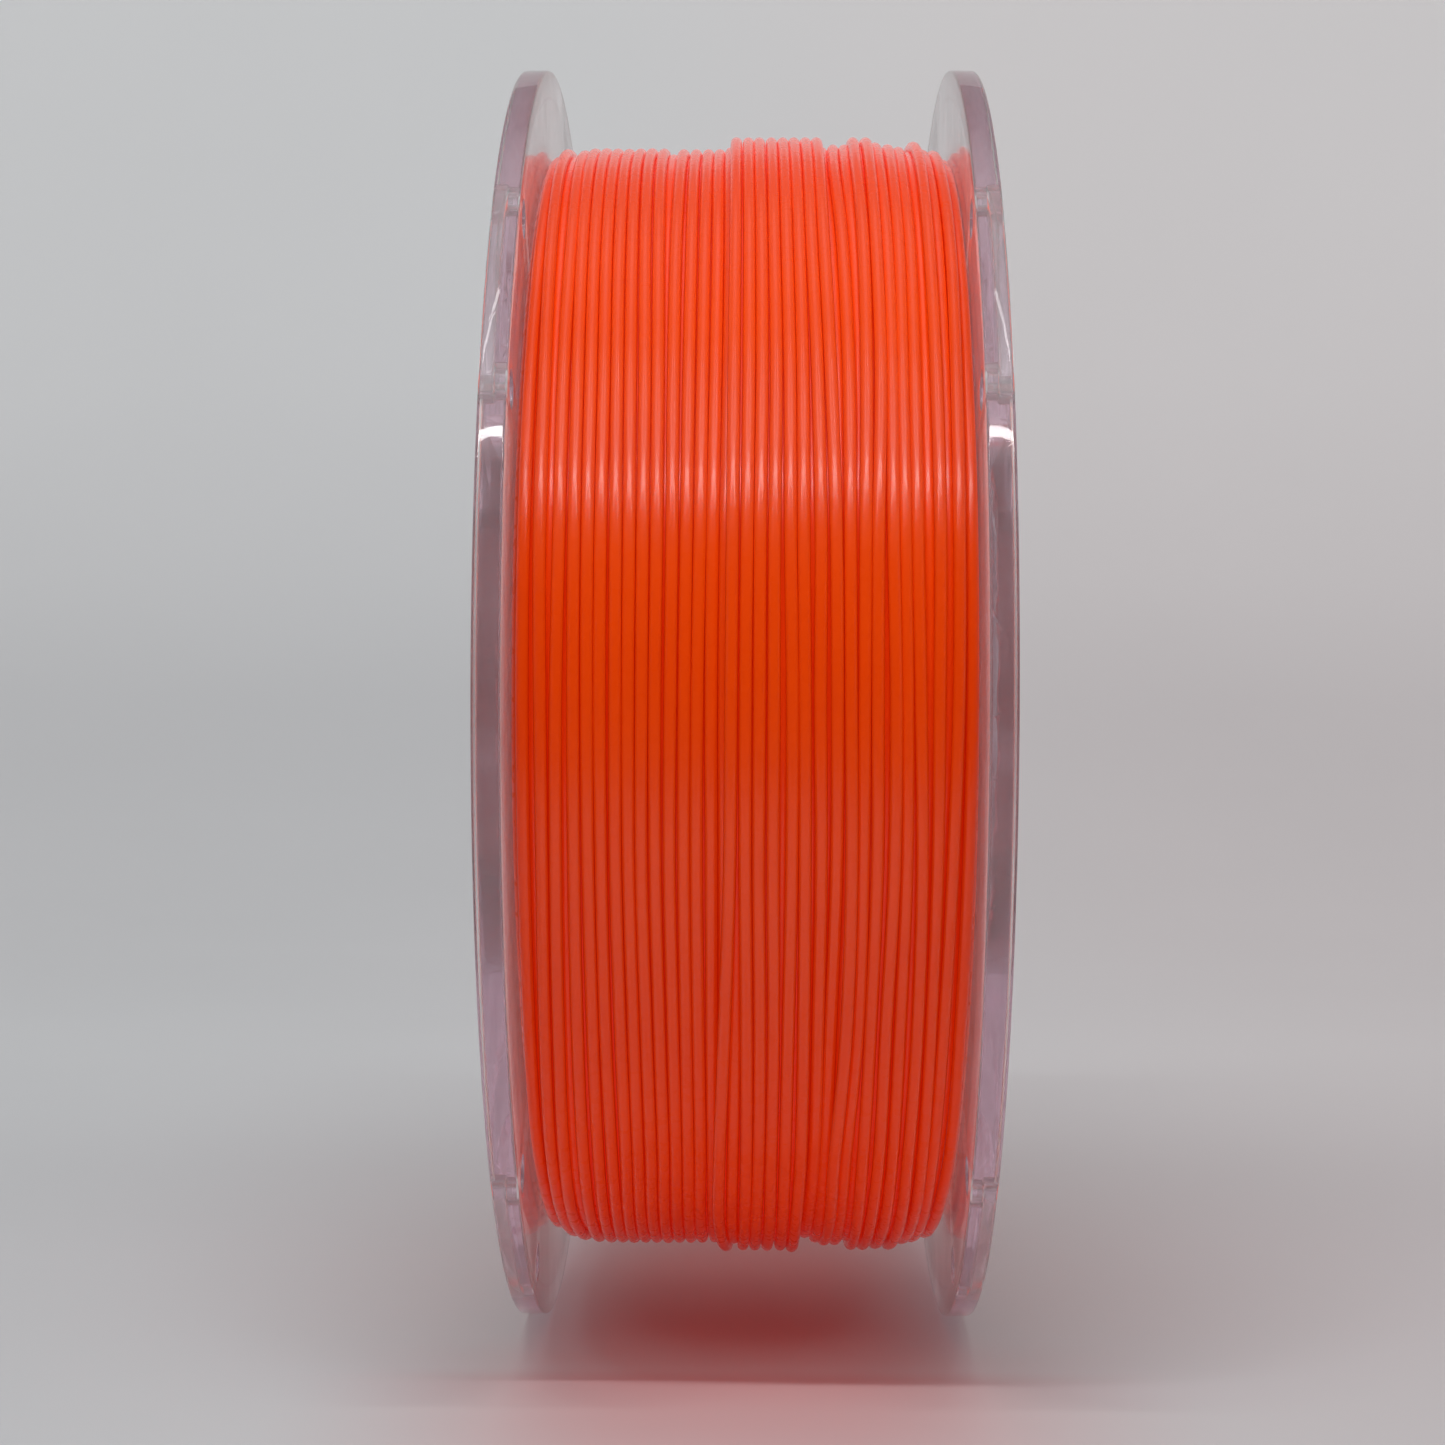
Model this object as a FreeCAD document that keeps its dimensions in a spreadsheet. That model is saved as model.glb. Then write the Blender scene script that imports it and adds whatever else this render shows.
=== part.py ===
import FreeCAD, Part
import Sketcher
import math
import os

# Clear plastic filament spool standing on its rim, wound with 1.75 mm filament.
# Frame: millimetres, +Z up, origin in the middle of the spindle bore. +X runs along the spool's axis to the
# right, -Y is the front. The spool touches the table at Z = -spool_od / 2.

V = FreeCAD.Vector
os.makedirs("parts", exist_ok=True)
doc = FreeCAD.newDocument("FilamentSpool")

# ---------------------------------------------------------------- driving dimensions
SIZES = [
    # alias, value, what it is
    ("spool_od", 200.0, "outside diameter of both flanges"),
    ("spool_width", 70.0, "overall width, lip face to lip face"),
    ("inner_gap", 62.3, "distance between the flanges' inner faces"),
    ("disc_thick", 3.2, "thickness of the flange disc"),
    ("lip_radial", 4.5, "radial width of the raised rim lip"),
    ("lip_fillet", 0.3, "inner corner of the lip"),
    ("edge_break", 0.35, "broken edges of the rim"),
    ("clock_angle", 55.3, "turn of the spool about its axis, degrees"),
    ("recess_radius", 94.5, "pitch radius of the rim recesses"),
    ("recess_width", 6.4, "radial width of a rim recess"),
    ("recess_half", 9.6, "half the angle between a recess's two holes"),
    ("recess_floor", 1.95, "plastic left under a rim recess"),
    ("clip_hole_dia", 5.4, "filament-end hole"),
    ("recess_count", 4, "rim recesses on each flange"),
    ("boss_dia", 76.0, "raised ring around the bore"),
    ("boss_thick", 3.6, "thickness of that ring"),
    ("bore_dia", 55.0, "spindle bore"),
    ("bore_break", 0.5, "chamfer at the mouths of the bore"),
    ("tube_wall", 2.5, "wall of the spindle tube"),
    ("sleeve_wall", 2.5, "extra wall of its shoulder between the flanges"),
    ("tube_gap", 0.05, "play between tube and flange"),
    ("barrel_od", 100.0, "hub barrel, where the winding starts"),
    ("barrel_wall", 2.4, "wall of the barrel"),
    ("collar_len", 10.0, "locating collar on the flange"),
    ("collar_wall", 2.6, "wall of that collar"),
    ("collar_gap", 0.1, "play between collar and barrel"),
    ("collar_break", 0.5, "lead-in chamfer of the collar"),
    ("hook_count", 3, "snap hooks on each collar"),
    ("hook_mid", 24.5, "distance of a hook from the middle"),
    ("hook_len", 2.6, "hook, along the axis"),
    ("hook_wide", 7.0, "hook, around the collar"),
    ("hook_tall", 1.0, "hook, above the collar"),
    ("window_play", 0.4, "room around a hook in its window"),
    ("rib_count", 6, "radial ribs inside the barrel"),
    ("rib_thick", 1.8, "thickness of a rib and of the middle web"),
    ("rib_half", 20.8, "half length of a rib"),
    ("start_hole_dia", 4.5, "hole for the filament's start end"),
    ("start_hole_x", -12.0, "where that hole is along the axis"),
    ("filament_dia", 1.75, "filament"),
    ("wind_side_gap", 0.15, "room between winding and flange"),
    ("wind_inner_r", 84.6, "top of the inner layers"),
    ("wind_outer_r", 88.1, "top of the last full layer"),
    ("wind_left_r", 86.5, "winding's height at the left flange"),
    ("wind_right_r", 86.4, "winding's height at the right flange"),
    ("last_r", 89.85, "top of the last part layer"),
    ("last_a0", -2.6, "first group of last turns, left side"),
    ("last_a1", 11.2, "first group of last turns, right side"),
    ("last_b0", 14.8, "second group of last turns, left side"),
    ("last_b1", 19.0, "second group of last turns, right side"),
]
sheet = doc.addObject("Spreadsheet::Sheet", "Dims")
sheet.Label = "Dims"
for row, (alias, value, note) in enumerate(SIZES, start=1):
    sheet.set(f"A{row}", note)
    sheet.set(f"B{row}", str(value))
    sheet.setAlias(f"B{row}", alias)
doc.recompute()
SIZE = {alias: float(value) for alias, value, _ in SIZES}


class Q:
    """A length that is known both as a number and as the formula of the sheet's cells that gives it."""

    def __init__(self, value, text):
        self.value, self.text = float(value), text

    def _with(self, other, sign, value):
        text = other.text if isinstance(other, Q) else repr(float(other))
        return Q(value, f"({self.text} {sign} {text})")

    def __add__(self, o):
        return self._with(o, "+", self.value + num(o))

    def __sub__(self, o):
        return self._with(o, "-", self.value - num(o))

    def __mul__(self, o):
        return self._with(o, "*", self.value * num(o))

    def __truediv__(self, o):
        return self._with(o, "/", self.value / num(o))


def num(x):
    return x.value if isinstance(x, Q) else float(x)


def dim(alias):
    return Q(SIZE[alias], "Dims." + alias)


# Radii and stations that several pieces share
rim_r = dim("spool_od") / 2
half_w = dim("spool_width") / 2
face_x = dim("inner_gap") / 2  # inner face of a flange
disc_x = face_x + dim("disc_thick")  # outer face of its disc
floor_x = face_x + dim("recess_floor")  # floor of a rim recess
boss_x = face_x + dim("boss_thick")
bore_r = dim("bore_dia") / 2
tube_r = bore_r + dim("tube_wall")
sleeve_r = tube_r + dim("sleeve_wall")
barrel_r = dim("barrel_od") / 2
barrel_in = barrel_r - dim("barrel_wall")
collar_r = barrel_in - dim("collar_gap")
collar_in = collar_r - dim("collar_wall")
collar_x = face_x - dim("collar_len")


# ---------------------------------------------------------------- sketch and feature helpers
def plane(body, role):
    return [f for f in body.Origin.OriginFeatures if f.Role == role][0]


def new_body(label):
    body = doc.addObject("PartDesign::Body", label)
    body.Label = label
    return body


def bind_distance(sketch, kind, geo, pos, q):
    index = sketch.addConstraint(Sketcher.Constraint(kind, -1, 1, geo, pos, num(q)))
    if isinstance(q, Q):
        sketch.setExpression(f"Constraints[{index}]", q.text)


def new_sketch(body, name, role, lift=None):
    sketch = body.newObject("Sketcher::SketchObject", name)
    sketch.AttachmentSupport = [(plane(body, role), "")]
    sketch.MapMode = "FlatFace"
    if lift is not None:
        sketch.AttachmentOffset = FreeCAD.Placement(V(0, 0, num(lift)), FreeCAD.Rotation())
        if isinstance(lift, Q):
            sketch.setExpression("AttachmentOffset.Base.z", lift.text)
    return sketch


def polygon(sketch, points):
    """A closed outline whose corners are tied to the sheet."""
    first = sketch.GeometryCount
    n = len(points)
    for i in range(n):
        a, b = points[i], points[(i + 1) % n]
        sketch.addGeometry(Part.LineSegment(V(num(a[0]), num(a[1]), 0), V(num(b[0]), num(b[1]), 0)))
    for i in range(n):
        sketch.addConstraint(Sketcher.Constraint("Coincident", first + i, 2, first + (i + 1) % n, 1))
    for i, (x, y) in enumerate(points):
        bind_distance(sketch, "DistanceX", first + i, 1, x)
        bind_distance(sketch, "DistanceY", first + i, 1, y)


def circle(sketch, x, y, r):
    geo = sketch.addGeometry(Part.Circle(V(num(x), num(y), 0), V(0, 0, 1), num(r)))
    bind_distance(sketch, "DistanceX", geo, 3, x)
    bind_distance(sketch, "DistanceY", geo, 3, y)
    index = sketch.addConstraint(Sketcher.Constraint("Radius", geo, num(r)))
    if isinstance(r, Q):
        sketch.setExpression(f"Constraints[{index}]", r.text)


def revolve(body, name, sketch, angle=360.0, cut=False, mid=False):
    feature = body.newObject("PartDesign::Groove" if cut else "PartDesign::Revolution", name)
    feature.Profile = sketch
    feature.ReferenceAxis = (sketch, ["H_Axis"])
    feature.Midplane = mid
    feature.Angle = num(angle)
    if isinstance(angle, Q):
        feature.setExpression("Angle", angle.text)
    sketch.Visibility = False
    return feature


def extrude(body, name, sketch, length, cut=False, reverse=False, mid=False):
    feature = body.newObject("PartDesign::Pocket" if cut else "PartDesign::Pad", name)
    feature.Profile = sketch
    feature.Length = num(length)
    if isinstance(length, Q):
        feature.setExpression("Length", length.text)
    if mid:
        feature.SideType = "Symmetric"
    feature.Reversed = reverse
    sketch.Visibility = False
    return feature


def polar(body, name, features, count):
    pattern = body.newObject("PartDesign::PolarPattern", name)
    pattern.Originals = features
    pattern.Axis = ([f for f in body.Origin.OriginFeatures if f.Role == "X_Axis"][0], [""])
    pattern.Angle = 360
    pattern.Occurrences = int(num(count))
    if isinstance(count, Q):
        pattern.setExpression("Occurrences", count.text)
    body.Tip = pattern
    return pattern


def volume_after(body, what, before, grows):
    """Recomputes and stops if a feature left the solid as it was, or changed it the wrong way."""
    doc.recompute()
    now = body.Shape.Volume
    if grows and not now > before + 1e-3 or not grows and not now < before - 1e-3:
        raise RuntimeError(f"{body.Label}: {what} took the volume from {before:.3f} to {now:.3f}")
    print(f"{body.Label}: {what}: {before:.1f} -> {now:.1f} mm3")
    return now


clock = FreeCAD.Placement(V(0, 0, 0), FreeCAD.Rotation(V(1, 0, 0), num(dim("clock_angle"))))


def turn_with_spool(body):
    """The flanges and the barrel are drawn with a recess, a rib and a hook on their own axes, then turned as one."""
    body.Placement = clock
    body.setExpression("Placement.Rotation.Angle", "Dims.clock_angle")


# ---------------------------------------------------------------- flanges
def build_flange(label, side):
    """Clear disc with a raised lip round its outer face, four rim recesses that each join two filament-end holes,
    a ring round the bore, and on its inner face a collar with snap hooks that locates it in the hub barrel."""

    def at(x):
        return x * side

    body = new_body(label)
    e, f, c = dim("edge_break"), dim("lip_fillet"), dim("collar_break")
    lip_in = rim_r - dim("lip_radial")
    hole_r = tube_r + dim("tube_gap")
    boss_r = dim("boss_dia") / 2
    outline = [
        (at(face_x), hole_r),
        (at(face_x), collar_in),
        (at(collar_x), collar_in),
        (at(collar_x), collar_r - c),
        (at(collar_x + c), collar_r),
        (at(face_x), collar_r),
        (at(face_x), rim_r - e),
        (at(face_x + e), rim_r),
        (at(half_w - e), rim_r),
        (at(half_w), rim_r - e),
        (at(half_w), lip_in + 0.15),
        (at(half_w - 0.15), lip_in),
        (at(disc_x + f), lip_in - 0.05),
        (at(disc_x + f * 0.3), lip_in - f * 0.3),
        (at(disc_x), lip_in - f),
        (at(disc_x), boss_r + 0.3),
        (at(disc_x + 0.3), boss_r),
        (at(boss_x), boss_r - 0.2),
        (at(boss_x), hole_r),
    ]
    sketch = new_sketch(body, label + "_section", "XZ_Plane")
    polygon(sketch, outline)
    revolve(body, label + "_turned", sketch)
    doc.recompute()
    volume = body.Shape.Volume

    # Snap hooks on the collar, three round it
    lift = collar_r - 0.6
    hooks = new_sketch(body, label + "_hook_outline", "XZ_Plane", lift)
    x0, x1 = dim("hook_mid") - dim("hook_len") / 2, dim("hook_mid") + dim("hook_len") / 2
    wide = dim("hook_wide") / 2
    corners = [(at(x0), wide * -1), (at(x1), wide * -1), (at(x1), wide), (at(x0), wide)]
    polygon(hooks, corners if side > 0 else corners[::-1])
    hook = extrude(body, label + "_hook", hooks, dim("hook_tall") + 0.6)
    volume = volume_after(body, "first snap hook", volume, True)
    polar(body, label + "_hooks", [hook], dim("hook_count"))
    volume = volume_after(body, "all snap hooks", volume, True)

    # One rim recess: a curved channel in the outer face with a round end at each hole, and the two holes
    r_in = dim("recess_radius") - dim("recess_width") / 2
    r_out = dim("recess_radius") + dim("recess_width") / 2
    beyond = half_w + 1.0
    channel = new_sketch(body, label + "_channel_section", "XZ_Plane")
    corners = [(at(floor_x), r_in), (at(beyond), r_in), (at(beyond), r_out), (at(floor_x), r_out)]
    polygon(channel, corners if side > 0 else corners[::-1])
    cut_a = revolve(body, label + "_channel", channel, dim("recess_half") * 2, cut=True, mid=True)
    volume = volume_after(body, "recess channel", volume, False)

    hole_y = Q(
        num(dim("recess_radius")) * math.sin(math.radians(num(dim("recess_half")))),
        "(Dims.recess_radius * sin(Dims.recess_half))",
    )
    hole_z = Q(
        num(dim("recess_radius")) * math.cos(math.radians(num(dim("recess_half")))),
        "(Dims.recess_radius * cos(Dims.recess_half))",
    )
    ends = new_sketch(body, label + "_channel_ends_outline", "YZ_Plane", at(floor_x))
    circle(ends, hole_y, hole_z, dim("recess_width") / 2)
    circle(ends, hole_y * -1, hole_z, dim("recess_width") / 2)
    cut_b = extrude(body, label + "_channel_ends", ends, 4.0, cut=True, reverse=side > 0)
    volume = volume_after(body, "recess ends", volume, False)

    holes = new_sketch(body, label + "_clip_holes_outline", "YZ_Plane", at(face_x - 1.0))
    circle(holes, hole_y, hole_z, dim("clip_hole_dia") / 2)
    circle(holes, hole_y * -1, hole_z, dim("clip_hole_dia") / 2)
    cut_c = extrude(body, label + "_clip_holes", holes, 5.0, cut=True, reverse=side > 0)
    volume = volume_after(body, "filament-end holes", volume, False)
    polar(body, label + "_recesses", [cut_a, cut_b, cut_c], dim("recess_count"))
    volume_after(body, "all recesses", volume, False)

    turn_with_spool(body)
    return body


left_flange = build_flange("left_flange", -1)
right_flange = build_flange("right_flange", 1)

# ---------------------------------------------------------------- spindle tube
# Runs right through the spool and is the surface that a spindle or roller core bears on. Its thicker middle is a
# shoulder between the flanges' inner faces.
spindle_tube = new_body("spindle_tube")
b = dim("bore_break")
sketch = new_sketch(spindle_tube, "spindle_tube_section", "XZ_Plane")
polygon(
    sketch,
    [
        (half_w * -1, bore_r + b),
        ((half_w - b) * -1, bore_r),
        (half_w - b, bore_r),
        (half_w, bore_r + b),
        (half_w, tube_r),
        (face_x, tube_r),
        (face_x, sleeve_r),
        (face_x * -1, sleeve_r),
        (face_x * -1, tube_r),
        (half_w * -1, tube_r),
    ],
)
revolve(spindle_tube, "spindle_tube_turned", sketch)
doc.recompute()

# ---------------------------------------------------------------- hub barrel
hub_barrel = new_body("hub_barrel")
sketch = new_sketch(hub_barrel, "barrel_section", "YZ_Plane")
circle(sketch, 0.0, 0.0, barrel_r)
circle(sketch, 0.0, 0.0, barrel_in)
extrude(hub_barrel, "barrel_wall", sketch, face_x * 2, mid=True)
doc.recompute()
volume = hub_barrel.Shape.Volume

rib_foot = sleeve_r + 0.1
rib_top = barrel_in + 0.3
web = dim("rib_thick") / 2
sketch = new_sketch(hub_barrel, "web_section", "XZ_Plane")
polygon(sketch, [(web * -1, rib_foot), (web, rib_foot), (web, rib_top), (web * -1, rib_top)])
revolve(hub_barrel, "middle_web", sketch)
volume = volume_after(hub_barrel, "middle web", volume, True)

reach = dim("rib_half")
sketch = new_sketch(hub_barrel, "rib_outline", "XZ_Plane")
polygon(sketch, [(reach * -1, rib_foot), (reach, rib_foot), (reach, rib_top), (reach * -1, rib_top)])
rib = extrude(hub_barrel, "rib", sketch, dim("rib_thick"), mid=True)
volume = volume_after(hub_barrel, "first rib", volume, True)
polar(hub_barrel, "ribs", [rib], dim("rib_count"))
volume = volume_after(hub_barrel, "all ribs", volume, True)

x0 = dim("hook_mid") - dim("hook_len") / 2 - dim("window_play")
x1 = dim("hook_mid") + dim("hook_len") / 2 + dim("window_play")
wide = dim("hook_wide") / 2 + dim("window_play")
sketch = new_sketch(hub_barrel, "window_outline", "XZ_Plane")
polygon(sketch, [(x0, wide * -1), (x1, wide * -1), (x1, wide), (x0, wide)])
polygon(sketch, [(x1 * -1, wide * -1), (x0 * -1, wide * -1), (x0 * -1, wide), (x1 * -1, wide)])
window = extrude(hub_barrel, "snap_window", sketch, barrel_r + 5.0, cut=True, reverse=True)
volume = volume_after(hub_barrel, "first snap windows", volume, False)
polar(hub_barrel, "snap_windows", [window], dim("hook_count"))
volume = volume_after(hub_barrel, "all snap windows", volume, False)

sketch = new_sketch(hub_barrel, "start_hole_outline", "XZ_Plane")
circle(sketch, dim("start_hole_x"), 0.0, dim("start_hole_dia") / 2)
extrude(hub_barrel, "start_hole", sketch, barrel_r + 5.0, cut=True, reverse=True)
volume_after(hub_barrel, "start hole", volume, False)
turn_with_spool(hub_barrel)


# ---------------------------------------------------------------- wound filament
# One continuous strand. Its layers are grouped into closed rings of the winding's true outer shape.
def build_ring(label, outline):
    body = new_body(label)
    sketch = new_sketch(body, label + "_section", "XZ_Plane")
    polygon(sketch, outline)
    revolve(body, label + "_wound", sketch)
    doc.recompute()
    return body


side_x = face_x - dim("wind_side_gap")
inner_r, outer_r = dim("wind_inner_r"), dim("wind_outer_r")
filament_inner_layers = build_ring(
    "filament_inner_layers",
    [(side_x * -1, barrel_r), (side_x, barrel_r), (side_x, inner_r), (side_x * -1, inner_r)],
)
filament_outer_layers = build_ring(
    "filament_outer_layers",
    [
        (side_x * -1, inner_r),
        (side_x, inner_r),
        (side_x, dim("wind_right_r")),
        (side_x - 3.2, outer_r - 0.3),
        (dim("last_b1") + 2.0, outer_r),
        (side_x * -1 + 4.6, outer_r),
        (side_x * -1 + 2.0, outer_r - 1.1),
        (side_x * -1, dim("wind_left_r")),
    ],
)


def build_turn_group(label, x0, x1):
    """A plain ring of whole turns lying on the last full layer, as a tube turned to lie along the axis."""
    parts = []
    for tag, r in (("outside", dim("last_r")), ("inside", outer_r)):
        rod = doc.addObject("Part::Cylinder", f"{label}_{tag}")
        rod.setExpression("Radius", r.text)
        rod.setExpression("Height", (x1 - x0).text)
        rod.Placement = FreeCAD.Placement(V(num(x0), 0, 0), FreeCAD.Rotation(V(0, 1, 0), 90))
        rod.setExpression("Placement.Base.x", x0.text)
        parts.append(rod)
    ring = doc.addObject("Part::Cut", label)
    ring.Base, ring.Tool = parts
    return ring


group_a = build_turn_group("turns_a", dim("last_a0"), dim("last_a1"))
group_b = build_turn_group("turns_b", dim("last_b0"), dim("last_b1"))
filament_last_turns = doc.addObject("Part::Compound", "filament_last_turns")
filament_last_turns.Label = "filament_last_turns"
filament_last_turns.Links = [group_a, group_b]
doc.recompute()


# ---------------------------------------------------------------- the filament's two ends
def strand(points, diameter, share=0.45):
    """A round strand through points: straight runs joined by tangent arcs. Returns the solid, its length and radii."""
    pts = [V(*p) for p in points]
    edges, radii, length = [], [], 0.0
    here = pts[0]
    for i in range(1, len(pts) - 1):
        a, b, c = pts[i - 1], pts[i], pts[i + 1]
        run_a, run_b = b.sub(a), c.sub(b)
        turn = run_a.getAngle(run_b)
        cut = share * min(run_a.Length, run_b.Length)
        u, w = V(run_a).normalize(), V(run_b).normalize()
        p0, p2 = b.sub(V(u).multiply(cut)), b.add(V(w).multiply(cut))
        radius = cut / math.tan(turn / 2)
        middle = V(w).sub(u).normalize()
        centre = p0.add(middle_normal(u, w).multiply(radius))
        p1 = centre.add(b.sub(centre).normalize().multiply(radius))
        edges.append(Part.LineSegment(here, p0).toShape())
        edges.append(Part.Arc(p0, p1, p2).toShape())
        radii.append(radius)
        length += here.sub(p0).Length + radius * turn
        here = p2
    edges.append(Part.LineSegment(here, pts[-1]).toShape())
    length += here.sub(pts[-1]).Length
    path = Part.Wire(edges)
    start = V(pts[1].sub(pts[0])).normalize()
    section = Part.Wire([Part.Circle(pts[0], start, diameter / 2).toShape()])
    solid = path.makePipeShell([section], True, False, 2)
    if solid.ShapeType != "Solid":
        solid = Part.Solid(solid.Shells[0]) if solid.Shells else solid
    if solid.Volume < 0:
        solid.reverse()
    return solid, length, radii


def middle_normal(u, w):
    """Unit vector across run u, in the plane of both runs, towards the inside of the bend."""
    n = V(w).sub(V(u).multiply(w.dot(u)))
    return n.normalize()


def round_axis(angle, x, r):
    """angle in degrees from the front (-Y), up over the top (+Z)."""
    a = math.radians(angle)
    return (x, -r * math.cos(a), r * math.sin(a))


def add_strand(label, points):
    dia = sheet.get("filament_dia")
    solid, length, radii = strand(points, float(dia))
    want = math.pi * float(dia) ** 2 / 4 * length
    print(f"{label}: length {length:.1f} mm, volume {solid.Volume:.1f} for {want:.1f}, "
          f"smallest radius {min(radii):.1f} mm, radii {[round(r, 1) for r in radii]}")
    if abs(solid.Volume / want - 1) > 0.02:
        raise RuntimeError(label + " has the wrong volume")
    piece = doc.addObject("Part::Feature", label)
    piece.Label = label
    piece.Shape = solid
    piece.Placement = FreeCAD.Placement()
    return piece


# The free end leaves the last turn behind the top of the spool, where it can't be seen from the front, drops
# through the first hole of the upper rear recess of the right flange, lies in that recess and comes back in
# through the second hole.
mid_recess = 90.0 - SIZE["clock_angle"] + 90.0
hole_1, hole_2 = mid_recess - SIZE["recess_half"], mid_recess + SIZE["recess_half"]
inside_x = num(face_x) - 1.02
outside_x = num(floor_x) + SIZE["filament_dia"] / 2 + 0.05
# Degrees from a hole's centre to the strand's bends, inside and outside the flange: it crosses at about 50 degrees
step_in, step_out = 1.08, 0.92
rr = SIZE["recess_radius"]
filament_free_end = add_strand(
    "filament_free_end",
    [
        round_axis(84.0, SIZE["last_b1"] + 0.93, 89.05),
        round_axis(89.0, SIZE["last_b1"] + 1.05, 89.08),
        round_axis(95.0, 23.4, 89.6),
        round_axis(101.5, 27.0, 91.2),
        round_axis(108.0, 29.75, 93.3),
        round_axis(hole_1 - step_in, inside_x, rr - 0.1),
        round_axis(hole_1 + step_out, outside_x, rr),
        round_axis(hole_1 + 6.2, outside_x + 0.02, rr + 0.25),
        round_axis(hole_2 - 6.2, outside_x + 0.02, rr + 0.25),
        round_axis(hole_2 - step_out, outside_x, rr),
        round_axis(hole_2 + step_in, inside_x, rr),
        round_axis(hole_2 + 5.2, inside_x - 1.4, rr + 0.3),
        round_axis(hole_2 + 9.0, inside_x - 3.4, rr + 0.9),
    ],
)

# The start end passes through the barrel's wall into the hollow between two ribs.
turn = math.radians(SIZE["clock_angle"])


def in_barrel(x, depth, across):
    """A point at radius depth on the start hole's side of the turned barrel, moved across by a little."""
    y, z = -depth, across
    return (x, y * math.cos(turn) - z * math.sin(turn), y * math.sin(turn) + z * math.cos(turn))


sx = SIZE["start_hole_x"]
filament_start_end = add_strand(
    "filament_start_end",
    [
        in_barrel(sx, num(barrel_r) - 0.06, 0.0),
        in_barrel(sx, num(barrel_r) - 5.6, 0.3),
        in_barrel(sx - 2.4, num(barrel_r) - 10.2, 2.0),
        in_barrel(sx - 6.4, num(barrel_r) - 13.4, 4.4),
    ],
)

# ---------------------------------------------------------------- checks and files
NODES = [
    left_flange,
    right_flange,
    spindle_tube,
    hub_barrel,
    filament_inner_layers,
    filament_outer_layers,
    filament_last_turns,
    filament_free_end,
    filament_start_end,
]
doc.recompute()
for obj in doc.Objects:
    if "Invalid" in obj.State or "Error" in obj.State:
        raise RuntimeError(f"{obj.Name} failed: {obj.State}")
for node in NODES:
    shape = node.Shape
    if shape.isNull() or not shape.isValid() or shape.Volume <= 0:
        raise RuntimeError(f"{node.Label} has no sound shape")
for node in NODES:
    node.Shape.exportStep(os.path.join("parts", node.Label + ".step"))
    bb = node.Shape.BoundBox
    print(
        f"{node.Label:24s} solids {len(node.Shape.Solids)} volume {node.Shape.Volume / 1000:8.2f} cm3  "
        f"x {bb.XMin:7.2f} {bb.XMax:7.2f}  y {bb.YMin:7.2f} {bb.YMax:7.2f}  z {bb.ZMin:7.2f} {bb.ZMax:7.2f}"
    )
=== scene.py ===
import math
import random

import bmesh
import bpy
import numpy as np
from mathutils import Matrix, Vector


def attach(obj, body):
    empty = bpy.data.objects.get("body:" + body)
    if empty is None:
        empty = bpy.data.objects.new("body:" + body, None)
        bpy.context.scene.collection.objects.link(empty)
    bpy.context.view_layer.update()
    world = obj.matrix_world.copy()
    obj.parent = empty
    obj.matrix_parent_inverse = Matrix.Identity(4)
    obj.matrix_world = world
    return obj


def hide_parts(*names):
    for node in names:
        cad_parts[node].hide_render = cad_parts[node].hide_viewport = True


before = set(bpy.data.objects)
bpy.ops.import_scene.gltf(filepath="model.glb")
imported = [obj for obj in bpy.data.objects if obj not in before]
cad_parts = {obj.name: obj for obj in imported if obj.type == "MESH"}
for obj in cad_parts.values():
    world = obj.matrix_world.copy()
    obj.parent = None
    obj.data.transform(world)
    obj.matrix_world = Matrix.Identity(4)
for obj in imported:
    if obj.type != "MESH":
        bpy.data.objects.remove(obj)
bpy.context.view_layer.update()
MM = 0.001
scene = bpy.context.scene

# Angles round the spool run from the front (-Y) up over the top (+Z), as in the CAD.
ROOT = "root"

# ------------------------------------------------------------------ camera
cam_data = bpy.data.cameras.new("camera")
cam_data.sensor_fit = "AUTO"
cam_data.sensor_width = 36.0
cam_data.lens = 36.0 * 2633.3 / 1445.0
cam_data.clip_start, cam_data.clip_end = 0.01, 30.0
cam = bpy.data.objects.new("camera", cam_data)
scene.collection.objects.link(cam)


def camera_axes(rx, ry, rz):
    cx, sx, cy, sy, cz, sz = (
        math.cos(rx), math.sin(rx), math.cos(ry), math.sin(ry), math.cos(rz), math.sin(rz))
    mx = np.array([[1, 0, 0], [0, cx, -sx], [0, sx, cx]])
    my = np.array([[cy, 0, sy], [0, 1, 0], [-sy, 0, cy]])
    mz = np.array([[cz, -sz, 0], [sz, cz, 0], [0, 0, 1]])
    base = np.array([[1, 0, 0], [0, 0, -1], [0, 1, 0]], float)
    return mz @ mx @ my @ base


rows = camera_axes(0.0078, 0.0136, 0.0029)
place = Matrix.Identity(4)
for axis, row in enumerate((rows[0], -rows[1], -rows[2])):
    for k in range(3):
        place[k][axis] = float(row[k])
place[0][3], place[1][3], place[2][3] = 1.742 * MM, -434.9 * MM, -1.281 * MM
cam.matrix_world = place
scene.camera = cam


# ------------------------------------------------------------------ small helpers
def polar(t, x, r):
    a = math.radians(t)
    return (x, -r * math.cos(a), r * math.sin(a))


def smooth_step(x, a, b):
    s = np.clip((np.asarray(x, float) - a) / (b - a), 0.0, 1.0)
    return s * s * (3 - 2 * s)


def make_object(name, verts, faces, smooth=True, sharp=None):
    mesh = bpy.data.meshes.new(name)
    mesh.from_pydata([tuple(v) for v in verts], [], faces)
    mesh.validate(clean_customdata=False)
    mesh.update()
    obj = bpy.data.objects.new(name, mesh)
    scene.collection.objects.link(obj)
    if smooth:
        mesh.shade_smooth()
        if sharp is not None:
            mesh.set_sharp_from_angle(angle=math.radians(sharp))
    return obj


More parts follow.
